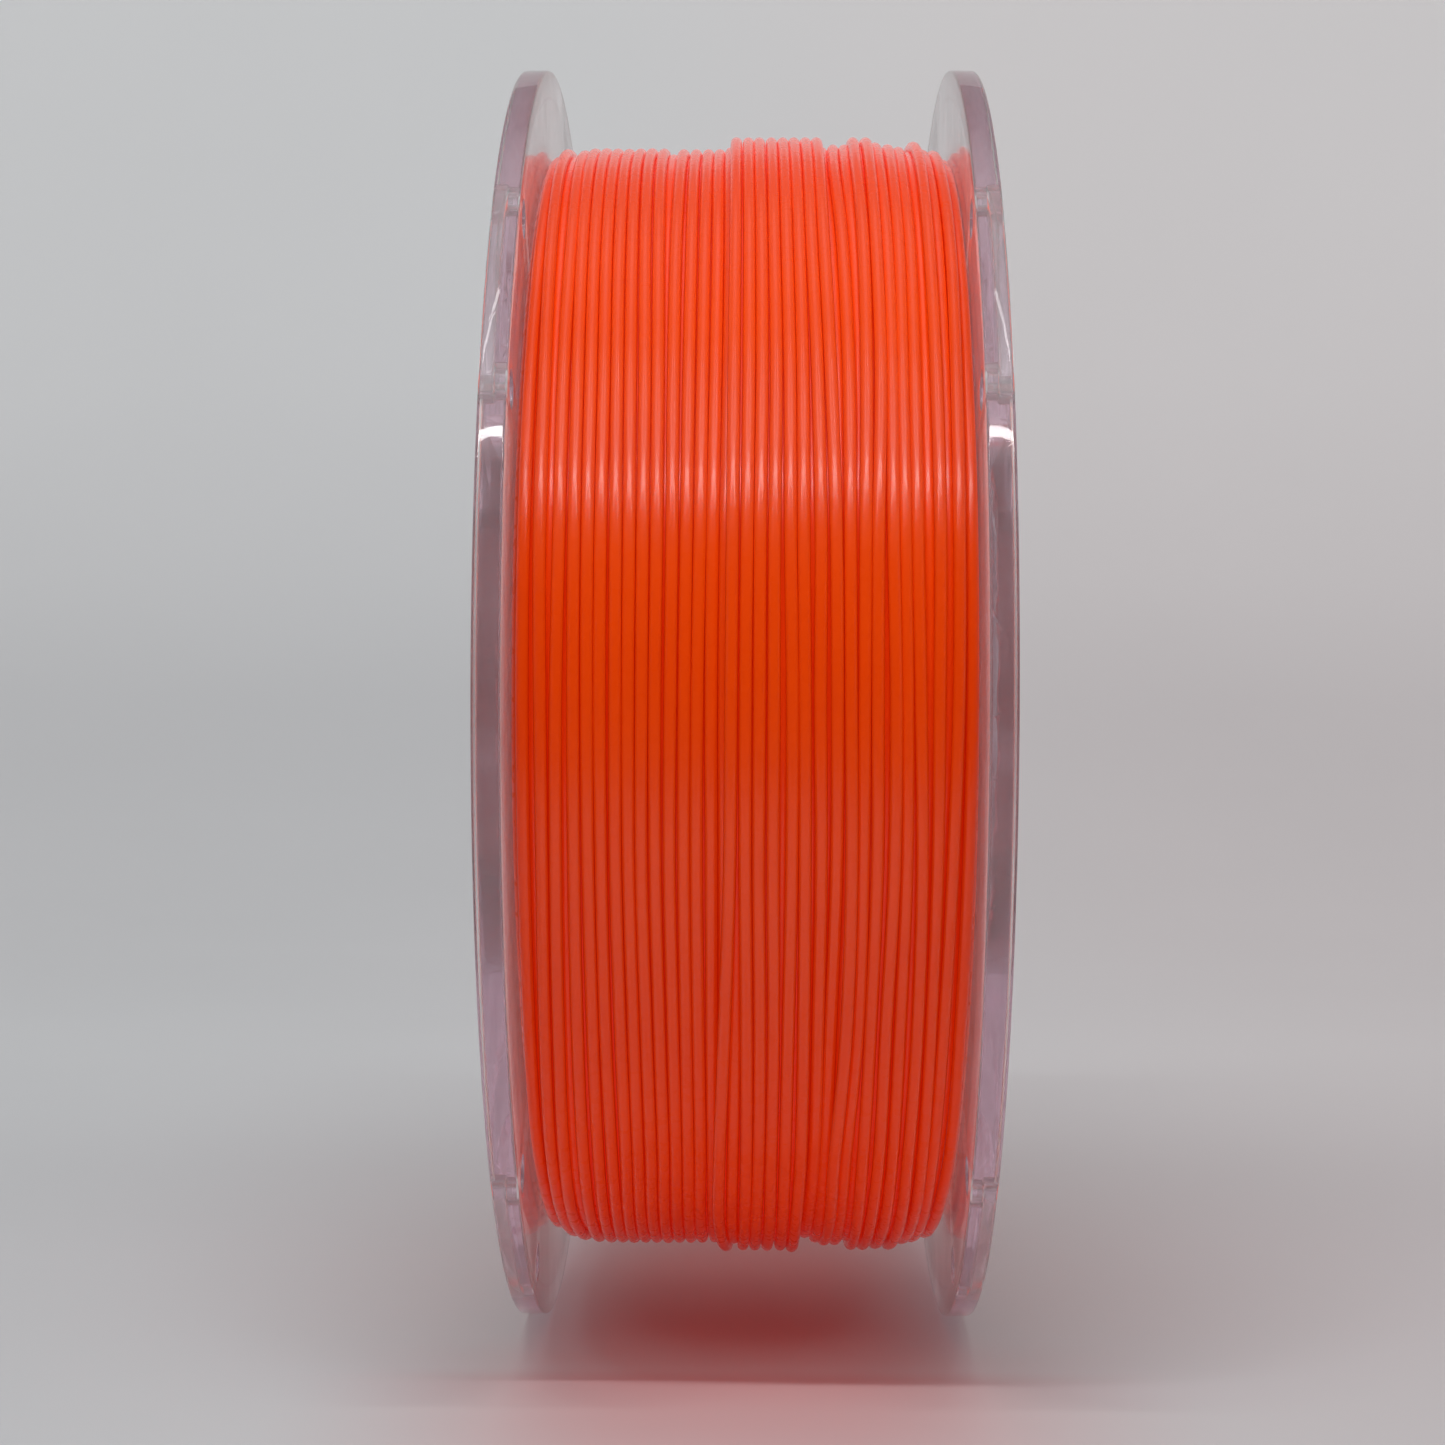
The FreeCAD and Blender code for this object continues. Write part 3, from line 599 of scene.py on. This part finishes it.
def table(values, angles, t):
    """Smooth interpolation of a row of values given from the top down."""
    a = np.array(angles[::-1], float)
    v = np.array(values[::-1], float)
    t = np.clip(np.asarray(t, float), a[0], a[-1])
    slopes = np.gradient(v, a)
    i = np.clip(np.searchsorted(a, t) - 1, 0, len(a) - 2)
    h = a[i + 1] - a[i]
    s = (t - a[i]) / h
    return ((2 * s**3 - 3 * s**2 + 1) * v[i] + (s**3 - 2 * s**2 + s) * h * slopes[i]
            + (-2 * s**3 + 3 * s**2) * v[i + 1] + (s**3 - s**2) * h * slopes[i + 1])


def wind(rows, steps, first=-90.0, last=90.0, seed=1):
    """Centre points (t, x, r) of one strand: each row's front half from the bottom up, then over the back to the
    next row's bottom."""
    wob = random.Random(seed)
    out = []
    half = steps // 2
    for k, (xs, offs) in enumerate(rows):
        lo = first if k == 0 else -90.0
        hi = last if k == len(rows) - 1 else 90.0
        t = np.linspace(lo, hi, half, endpoint=k == len(rows) - 1)
        x = table(xs, AT, t)
        r = crest(t) - RAD + table(offs, OFF_AT, t)
        out.append(np.stack([t + 360.0 * k, x, r], 1))
        if k < len(rows) - 1:
            x0, r0 = table(xs, AT, [90.0])[0], crest(90.0) - RAD + offs[0]
            x1, r1 = table(rows[k + 1][0], AT, [-90.0])[0], crest(-90.0) - RAD + rows[k + 1][1][-1]
            s = np.linspace(0, 1, half, endpoint=False)
            ease = s * s * (3 - 2 * s)
            c = wob.uniform(-0.35, 0.35)
            d = wob.uniform(-0.08, 0.08)
            side = np.sin(np.pi * s) ** 2
            xb = x0 + (x1 - x0) * (0.7 * ease + 0.3 * s) + c * side * np.sin(2 * np.pi * s)
            rb = r0 + (r1 - r0) * ease + d * side
            out.append(np.stack([90.0 + 180.0 * s + 360.0 * k, xb, rb], 1))
    return np.concatenate(out)


def strand_points(path):
    t = np.radians(path[:, 0])
    return np.stack([path[:, 1], -path[:, 2] * np.cos(t), path[:, 2] * np.sin(t)], 1)


def strand_rings(path, round_steps, radius):
    p = strand_points(path)
    tan = np.gradient(p, axis=0)
    tan /= np.linalg.norm(tan, axis=1)[:, None]
    t = np.radians(path[:, 0])
    er = np.stack([np.zeros_like(t), -np.cos(t), np.sin(t)], 1)
    e1 = er - (er * tan).sum(1)[:, None] * tan
    e1 /= np.linalg.norm(e1, axis=1)[:, None]
    e2 = np.cross(tan, e1)
    q = np.linspace(0, 2 * np.pi, round_steps, endpoint=False)
    return (p[:, None] + radius * (np.cos(q)[None, :, None] * e1[:, None] + np.sin(q)[None, :, None] * e2[:, None]))


def strand_object(name, path, round_steps, caps=True, radius=RAD):
    obj = grid_object(name, strand_rings(path, round_steps, radius), caps=caps)
    outward(obj)
    return obj


# The outer layer, from the left flange to the last turn, which runs on into the free end
outer_path = wind(OUTER, 288, first=-88.0, last=80.0, seed=5)
tail_start = np.array([[80.0 + 360.0 * (len(OUTER) - 1) + d, 19.9 + 0.012 * d, 88.12 + 0.02 * d] for d in (2.0, 4.0, 6.0)])
outer_path = np.concatenate([outer_path, tail_start])
outer = strand_object("filament_outer_turns", outer_path, 12, radius=0.885)
dress(outer, ORANGE, "filament", "filament_last_turns")


def valley(path, steps, drop=1.76):
    """The turn that lies under each pair of neighbouring turns, touching both."""
    T, x, r = path[:, 0], path[:, 1], path[:, 2]
    grid = np.arange(T[0], T[-1] - 360.0, 360.0 / steps)
    x1, r1 = np.interp(grid, T, x), np.interp(grid, T, r)
    x2, r2 = np.interp(grid + 360.0, T, x), np.interp(grid + 360.0, T, r)
    dx, dr = x2 - x1, r2 - r1
    d = np.hypot(dx, dr)
    h = np.sqrt(np.maximum(drop**2 - (d / 2) ** 2, 0.45**2))
    return np.stack([grid, (x1 + x2) / 2 + dr / d * h, (r1 + r2) / 2 - dx / d * h], 1)


def smoothed(path, width):
    k = np.hanning(width + 2)[1:-1]
    k /= k.sum()
    out = path.copy()
    for c in (1, 2):
        pad = np.concatenate([np.full(width, path[0, c]), path[:, c], np.full(width, path[-1, c])])
        out[:, c] = np.convolve(pad, k, "same")[width:-width]
    return out


under_steps = 240
left_part = smoothed(valley(outer_path, under_steps), 9)
right_part = wind(RIGHT, under_steps, first=-90.0, last=85.0, seed=9)
right_part[:, 0] += 360.0 * (len(OUTER) - 1)
cut = right_part[0, 0] - 130.0
left_part = left_part[left_part[:, 0] < cut]
join = np.linspace(cut, right_part[0, 0], 62)[:-1]
s01 = (join - join[0]) / (right_part[0, 0] - join[0])
ease = s01 * s01 * (3 - 2 * s01)
joined = np.stack([join, left_part[-1, 1] + (right_part[0, 1] - left_part[-1, 1]) * ease,
                   left_part[-1, 2] + (right_part[0, 2] - left_part[-1, 2]) * ease], 1)
under_path = np.concatenate([left_part, joined, right_part])
under = strand_object("filament_under_turns", under_path, 10)
dress(under, ORANGE, "filament", "filament_outer_layers")

second_path = smoothed(valley(under_path, 120), 9)
second = strand_object("filament_second_layer", second_path, 8)
dress(second, ORANGE, "filament")


# The layers' edges that lie against each flange, seen through the clear plastic
def edge_spiral(side, seed):
    wob = random.Random(seed)
    per, n, pitch = 168, 21, 1.64
    cross = wob.uniform(120.0, 200.0)
    t = np.linspace(0.0, 360.0 * n, per * n + 1)
    turn = np.floor(t / 360.0)
    within = t - 360.0 * turn
    lift = smooth_step(within, cross - 34.0, cross + 34.0)
    r = 50.95 + pitch * (turn + lift)
    x = np.full_like(t, 30.18)
    lean = np.array([wob.uniform(-0.30, 0.05) for _ in range(n + 2)])
    x += lean[turn.astype(int)] * (1 - lift) + lean[turn.astype(int) + 1] * lift
    x += 0.07 * np.sin(np.radians(t * 2.3 + 40 * wob.random()))
    return np.stack([t - 180.0, side * np.minimum(x, 30.22), r], 1)


for side, word, seed in ((-1, "left", 3), (1, "right", 4)):
    edge = strand_object(f"filament_{word}_edge", edge_spiral(side, seed), 10)
    dress(edge, ORANGE_SIDE, "filament")

# The first layer, seen through the clear barrel
t = np.linspace(0.0, 360.0 * 33, 33 * 110 + 1)
first_path = np.stack([t, -29.3 + 58.6 * t / t[-1], np.full_like(t, 50.98)], 1)
first_layer = strand_object("filament_first_layer", first_path, 8)
dress(first_layer, ORANGE, "filament")

# What lies between: the layers' own ribbed section, turned once round
core = []
for k in range(31):  # over the top, left to right
    x = -28.2 + 1.88 * k
    for q in (150, 110, 70, 30):
        core.append((x + 0.92 * math.cos(math.radians(q)), 83.3 + 0.6 * math.sin(math.radians(q))))
for k in range(19):  # down the right side
    r = 82.4 - 1.64 * k
    for q in (60, 20, -20, -60):
        core.append((28.7 + 0.7 * math.cos(math.radians(q)), r + 0.8 * math.sin(math.radians(q))))
core += [(28.6, 52.2), (-28.6, 52.2)]
for k in range(19):
    r = 82.4 - 1.64 * (18 - k)
    for q in (-120, -160, 160, 120):
        core.append((-28.7 + 0.7 * math.cos(math.radians(q)), r + 0.8 * math.sin(math.radians(q))))
core_obj = grid_object("filament_inner_turns", lathe_rings(core, 144), closed_along=True, sharp=50)
outward(core_obj)
core_obj.data.shade_smooth()
core_obj.data.set_sharp_from_angle(angle=math.radians(60))
dress(core_obj, ORANGE, "filament", "filament_inner_layers")


def nurbs_strand(name, points, cad_node):
    curve = bpy.data.curves.new(name, "CURVE")
    curve.dimensions = "3D"
    spline = curve.splines.new("NURBS")
    spline.points.add(len(points) - 1)
    for p, co in zip(spline.points, points):
        p.co = (co[0] * MM, co[1] * MM, co[2] * MM, 1.0)
    spline.order_u = 3
    spline.use_endpoint_u = True
    spline.resolution_u = 10
    curve.bevel_depth = RAD * MM
    curve.bevel_resolution = 5
    curve.use_fill_caps = True
    temp = bpy.data.objects.new(name + "_route", curve)
    scene.collection.objects.link(temp)
    bpy.context.view_layer.update()
    dg = bpy.context.evaluated_depsgraph_get()
    mesh = bpy.data.meshes.new_from_object(temp.evaluated_get(dg))
    bpy.data.objects.remove(temp)
    bpy.data.curves.remove(curve)
    mesh.name = name
    bm = bmesh.new()
    bm.from_mesh(mesh)
    bmesh.ops.remove_doubles(bm, verts=bm.verts, dist=1e-7)
    bm.to_mesh(mesh)
    bm.free()
    obj = bpy.data.objects.new(name, mesh)
    scene.collection.objects.link(obj)
    outward(obj)
    mesh.shade_smooth()
    mesh.set_sharp_from_angle(angle=math.radians(50))
    return dress(obj, ORANGE, "filament", cad_node)


nurbs_strand("filament_tail", [
    polar(83.0, 19.92, 88.15), polar(87.5, 20.0, 88.25), polar(91.5, 21.2, 88.75), polar(95.5, 23.6, 89.55),
    polar(101.5, 27.0, 91.2), polar(108.0, 29.75, 93.3), polar(114.02, 30.13, 94.4), polar(116.02, 34.025, 94.5),
    polar(121.3, 34.045, 94.75), polar(128.1, 34.045, 94.75), polar(133.38, 34.025, 94.5),
    polar(135.38, 30.13, 94.5), polar(139.5, 28.73, 94.8), polar(143.3, 26.73, 95.4),
], "filament_free_end")

turn = math.radians(55.3)


def in_barrel(x, depth, across):
    y, z = -depth, across
    return (x, y * math.cos(turn) - z * math.sin(turn), y * math.sin(turn) + z * math.cos(turn))


nurbs_strand("filament_start", [
    in_barrel(-12.0, 51.0, 0.0), in_barrel(-12.0, 49.0, 0.0), in_barrel(-12.0, 44.4, 0.3),
    in_barrel(-14.4, 39.8, 2.0), in_barrel(-18.4, 36.6, 4.4),
], "filament_start_end")

# ------------------------------------------------------------------ stage and light
# Painted light: how brightly the backdrop glows by itself, standing in for light falling on it, by height in metres
BACKDROP = [(-0.10, 0.115), (-0.03, 0.12), (0.0, 0.13), (0.075, 0.187), (0.20, 0.25), (0.30, 0.28), (0.50, 0.33), (0.90, 0.33)]


# Painted shadow with the winding's red bounce in it: how strongly the paper is darkened towards red, from 160 mm in
# front (0) to under its middle (1)
PAINTED_SHADOW_AHEAD = [(0.0, 0.0), (0.30, 0.55), (0.55, 0.85), (0.665, 1.0), (0.72, 0.35), (0.85, 0.0)]


def stage_material():
    """Pale paper with painted light: tinted cooler at the left and warmer at the right, painted shade well in front,
    far out to the sides and as a reddish shadow in front of the winding, a little darker in front and lighter behind,
    and a backdrop that glows by itself.
    """
    mat, nt, out = new_material("pale_paper")
    link = nt.links.new
    p = node(nt, "ShaderNodeBsdfPrincipled")
    coord = node(nt, "ShaderNodeTexCoord")
    axes = node(nt, "ShaderNodeSeparateXYZ")
    link(coord.outputs["Object"], axes.inputs[0])
    along = node(nt, "ShaderNodeMapRange", interpolation_type="SMOOTHSTEP")
    along.inputs["From Min"].default_value = -0.45
    along.inputs["From Max"].default_value = -0.24
    link(axes.outputs["Y"], along.inputs["Value"])
    # Painted light: the paper is tinted cooler at the left and warmer, as if lit by the winding's orange, at the right
    across = node(nt, "ShaderNodeMapRange", interpolation_type="SMOOTHSTEP")
    across.inputs["From Min"].default_value = -0.22
    across.inputs["From Max"].default_value = 0.22
    link(axes.outputs["X"], across.inputs["Value"])
    painted_side_tint = node(nt, "ShaderNodeMix", data_type="RGBA")
    painted_side_tint.inputs[6].default_value = (0.585, 0.578, 0.592, 1)
    painted_side_tint.inputs[7].default_value = (0.635, 0.571, 0.578, 1)
    link(across.outputs["Result"], painted_side_tint.inputs[0])
    grain = node(nt, "ShaderNodeTexNoise")
    grain.inputs["Scale"].default_value = 3.0
    grain.inputs["Detail"].default_value = 4.0
    link(coord.outputs["Object"], grain.inputs["Vector"])
    cloud = node(nt, "ShaderNodeMapRange")
    cloud.inputs["From Min"].default_value = 0.3
    cloud.inputs["From Max"].default_value = 0.7
    cloud.inputs["To Min"].default_value = 0.98
    cloud.inputs["To Max"].default_value = 1.02
    link(grain.outputs["Fac"], cloud.inputs["Value"])
    paper = node(nt, "ShaderNodeMix", data_type="RGBA", blend_type="MULTIPLY")
    paper.inputs[0].default_value = 1.0
    link(painted_side_tint.outputs[2], paper.inputs[6])
    link(cloud.outputs["Result"], paper.inputs[7])
    # Painted shade: the paper turns dark well in front, as if little light fell there
    tone = node(nt, "ShaderNodeMix", data_type="RGBA")
    tone.inputs[6].default_value = (0.09, 0.09, 0.095, 1)
    link(along.outputs["Result"], tone.inputs[0])
    # Painted light and shade: the paper a little darker in front of the spool and a little lighter behind it
    near = node(nt, "ShaderNodeMapRange", interpolation_type="SMOOTHSTEP")
    near.inputs["From Min"].default_value = -0.10
    near.inputs["From Max"].default_value = 0.04
    near.inputs["To Min"].default_value = 0.97
    near.inputs["To Max"].default_value = 1.07
    link(axes.outputs["Y"], near.inputs["Value"])
    nearer = node(nt, "ShaderNodeMix", data_type="RGBA", blend_type="MULTIPLY")
    nearer.inputs[0].default_value = 1.0
    link(paper.outputs[2], nearer.inputs[6])
    link(near.outputs["Result"], nearer.inputs[7])
    out_wide = node(nt, "ShaderNodeMath", operation="ABSOLUTE")
    link(axes.outputs["X"], out_wide.inputs[0])
    # Painted shade: the paper darker far out to each side, which also takes bounce light away from under the spool
    wide = node(nt, "ShaderNodeMapRange", interpolation_type="SMOOTHSTEP")
    wide.inputs["From Min"].default_value = 0.55
    wide.inputs["From Max"].default_value = 1.0
    wide.inputs["To Min"].default_value = 1.0
    wide.inputs["To Max"].default_value = 0.45
    link(out_wide.outputs[0], wide.inputs["Value"])
    broad = node(nt, "ShaderNodeMix", data_type="RGBA", blend_type="MULTIPLY")
    broad.inputs[0].default_value = 1.0
    link(nearer.outputs[2], broad.inputs[6])
    link(wide.outputs["Result"], broad.inputs[7])
    # In front of the winding the paper is painted darker and redder: a painted shadow with the winding's red bounce
    # light in it
    ahead = node(nt, "ShaderNodeValToRGB")
    ahead.color_ramp.interpolation = "EASE"
    els = ahead.color_ramp.elements
    while len(els) < len(PAINTED_SHADOW_AHEAD):
        els.new(0.5)
    for el, (at, level) in zip(els, PAINTED_SHADOW_AHEAD):
        el.position = at
        el.color = (level, level, level, 1)
    forward = node(nt, "ShaderNodeMapRange")
    forward.inputs["From Min"].default_value = -0.16
    forward.inputs["From Max"].default_value = 0.0
    link(axes.outputs["Y"], forward.inputs["Value"])
    link(forward.outputs["Result"], ahead.inputs["Fac"])
    beside = node(nt, "ShaderNodeMapRange", interpolation_type="SMOOTHSTEP")
    beside.inputs["From Min"].default_value = 0.012
    beside.inputs["From Max"].default_value = 0.070
    beside.inputs["To Min"].default_value = 1.0
    beside.inputs["To Max"].default_value = 0.0
    link(out_wide.outputs[0], beside.inputs["Value"])
    painted_shadow_amount = node(nt, "ShaderNodeMath", operation="MULTIPLY")
    link(ahead.outputs["Color"], painted_shadow_amount.inputs[0])
    link(beside.outputs["Result"], painted_shadow_amount.inputs[1])
    painted_red_shadow = node(nt, "ShaderNodeMix", data_type="RGBA")
    painted_red_shadow.inputs[6].default_value = (1, 1, 1, 1)
    painted_red_shadow.inputs[7].default_value = (0.93, 0.62, 0.62, 1)
    link(painted_shadow_amount.outputs[0], painted_red_shadow.inputs[0])
    painted_red_shadowed = node(nt, "ShaderNodeMix", data_type="RGBA", blend_type="MULTIPLY")
    painted_red_shadowed.inputs[0].default_value = 1.0
    link(broad.outputs[2], painted_red_shadowed.inputs[6])
    link(painted_red_shadow.outputs[2], painted_red_shadowed.inputs[7])
    link(painted_red_shadowed.outputs[2], tone.inputs[7])
    link(tone.outputs[2], p.inputs["Base Color"])
    p.inputs["Roughness"].default_value = 0.6
    p.inputs["IOR"].default_value = 1.35
    # Painted light: the backdrop glows by itself, more higher up and further behind
    up = node(nt, "ShaderNodeMapRange")
    up.inputs["From Min"].default_value = -0.1
    up.inputs["From Max"].default_value = 0.9
    link(axes.outputs["Z"], up.inputs["Value"])
    painted_backdrop_glow = node(nt, "ShaderNodeValToRGB")
    els = painted_backdrop_glow.color_ramp.elements
    while len(els) < len(BACKDROP):
        els.new(0.5)
    for e, (z, v) in zip(els, BACKDROP):
        e.position = (z + 0.1) / 1.0
        e.color = (v * 0.98, v, v, 1)
    link(up.outputs["Result"], painted_backdrop_glow.inputs["Fac"])
    behind = node(nt, "ShaderNodeMapRange", interpolation_type="SMOOTHSTEP")
    behind.inputs["From Min"].default_value = -0.02
    behind.inputs["From Max"].default_value = 0.35
    link(axes.outputs["Y"], behind.inputs["Value"])
    link(painted_backdrop_glow.outputs["Color"], p.inputs["Emission Color"])
    link(behind.outputs["Result"], p.inputs["Emission Strength"])
    link(p.outputs[0], out.inputs["Surface"])
    return mat


sweep = [(-3.0, -0.1), (-1.5, -0.1), (-0.8, -0.1), (-0.4, -0.1), (0.0, -0.1), (0.3, -0.1), (0.6, -0.1)]
for k in range(1, 33):
    q = math.radians(90.0 * k / 32)
    sweep.append((0.6 + 0.9 * math.sin(q), -0.1 + 0.9 * (1 - math.cos(q))))
sweep += [(1.5, 1.3)]
verts, faces = [], []
for y, z in sweep:
    for x in (-4.0, 4.0):
        verts.append((x, y, z))
for i in range(len(sweep) - 1):
    faces.append((2 * i, 2 * i + 1, 2 * i + 3, 2 * i + 2))
floor = make_object("floor", verts, faces)
floor.data.materials.append(stage_material())


def area_light(name, place, look_at, size_x, size_y, power, colour=(1, 1, 1), roll=0.0):
    data = bpy.data.lights.new(name, "AREA")
    data.shape = "RECTANGLE"
    data.size, data.size_y = size_x, size_y
    data.energy = power
    data.color = colour
    obj = bpy.data.objects.new(name, data)
    scene.collection.objects.link(obj)
    ahead = (Vector(look_at) - Vector(place)).normalized()
    quat = ahead.to_track_quat("-Z", "Y")
    obj.matrix_world = (Matrix.Translation(Vector(place)) @ quat.to_matrix().to_4x4()
                        @ Matrix.Rotation(math.radians(roll), 4, "Z"))
    obj.visible_camera = False
    return obj


def bar_light(name, start, end, look_at, width, power):
    """A narrow lamp from start to end that faces look_at."""
    a, b = Vector(start), Vector(end)
    mid, along = (a + b) / 2, (b - a)
    length = along.length
    x = along.normalized()
    z = (mid - Vector(look_at))
    z = (z - x * z.dot(x)).normalized()
    y = z.cross(x)
    obj = area_light(name, mid, look_at, length, width, power)
    m = Matrix((x, y, z)).transposed().to_4x4()
    obj.matrix_world = Matrix.Translation(mid) @ m
    return obj


def shines_only_on(lamp, *objects):
    group = bpy.data.collections.new(lamp.name + "_falls_on")
    for obj in objects:
        group.objects.link(obj)
    lamp.light_linking.receiver_collection = group


# The strip that shines along the winding is shaded from the floor, and a second one over it lights the floor
front = bar_light("lamp_front", (-0.135, -0.1985, 0.1383), (0.135, -0.1985, 0.1383), (0, -0.083, 0.03), 0.0070, 0.102)
shines_only_on(front, *[o for o in scene.objects if o.type == "MESH" and o is not floor])
over = bar_light("lamp_over", (-0.146, -0.2265, 0.300), (0.094, -0.2265, 0.300), (0, -0.0526, -0.1), 0.008, 0.84)
over.data.color = (0.86, 1.0, 1.0)
shines_only_on(over, floor)
for s, word in ((-1, "left"), (1, "right")):
    bar_light("lamp_" + word, (s * 0.150, -0.280, 0.292), (s * 0.055, -0.155, 0.292), (0, -0.07, 0.05), 0.008, 0.028)

# Surroundings: rows of (elevation in degrees, brightness) for the open front and for the rest
FRONT = [(-90, 0.216), (-1, 0.010), (14, 0.020), (30, 0.006), (38, 0.09), (46, 1.0), (56, 0.70), (70, 0.50), (90, 0.44)]
REST = [(-90, 0.21), (-1, 0.22), (30, 0.17), (60, 0.10), (90, 0.48)]
world = bpy.data.worlds.new("studio")
world.use_nodes = True
scene.world = world
wnt = world.node_tree
for n in list(wnt.nodes):
    wnt.nodes.remove(n)
wout = wnt.nodes.new("ShaderNodeOutputWorld")
back = wnt.nodes.new("ShaderNodeBackground")
wcoord = wnt.nodes.new("ShaderNodeTexCoord")
waxes = wnt.nodes.new("ShaderNodeSeparateXYZ")
wnt.links.new(wcoord.outputs["Generated"], waxes.inputs[0])
height = wnt.nodes.new("ShaderNodeMapRange")
height.inputs["From Min"].default_value = -1.0
height.inputs["From Max"].default_value = 1.0
wnt.links.new(waxes.outputs["Z"], height.inputs["Value"])
ramps = {}
for label, knots in (("front", FRONT), ("rest", REST)):
    r = wnt.nodes.new("ShaderNodeValToRGB")
    r.name = label
    els = r.color_ramp.elements
    while len(els) < len(knots):
        els.new(0.5)
    for e, (deg, v) in zip(els, knots):
        e.position = (math.sin(math.radians(deg)) + 1) / 2
        e.color = (v * 0.98, v * 0.99, v, 1)
    wnt.links.new(height.outputs["Result"], r.inputs["Fac"])
    ramps[label] = r
side = wnt.nodes.new("ShaderNodeMapRange")
side.interpolation_type = "SMOOTHSTEP"
side.inputs["From Min"].default_value = -0.10
side.inputs["From Max"].default_value = -0.42
wnt.links.new(waxes.outputs["Y"], side.inputs["Value"])
blend = wnt.nodes.new("ShaderNodeMix")
blend.data_type = "RGBA"
wnt.links.new(side.outputs["Result"], blend.inputs[0])
wnt.links.new(ramps["rest"].outputs["Color"], blend.inputs[6])
wnt.links.new(ramps["front"].outputs["Color"], blend.inputs[7])
wnt.links.new(blend.outputs[2], back.inputs["Color"])
back.inputs["Strength"].default_value = 1.82
wnt.links.new(back.outputs[0], wout.inputs["Surface"])

scene.view_settings.view_transform = "Standard"
scene.view_settings.look = "None"
scene.cycles.max_bounces = 24
scene.cycles.diffuse_bounces = 16
scene.cycles.sample_clamp_indirect = 3.0
scene.cycles.glossy_bounces = 20
scene.cycles.transmission_bounces = 24
scene.cycles.transparent_max_bounces = 32
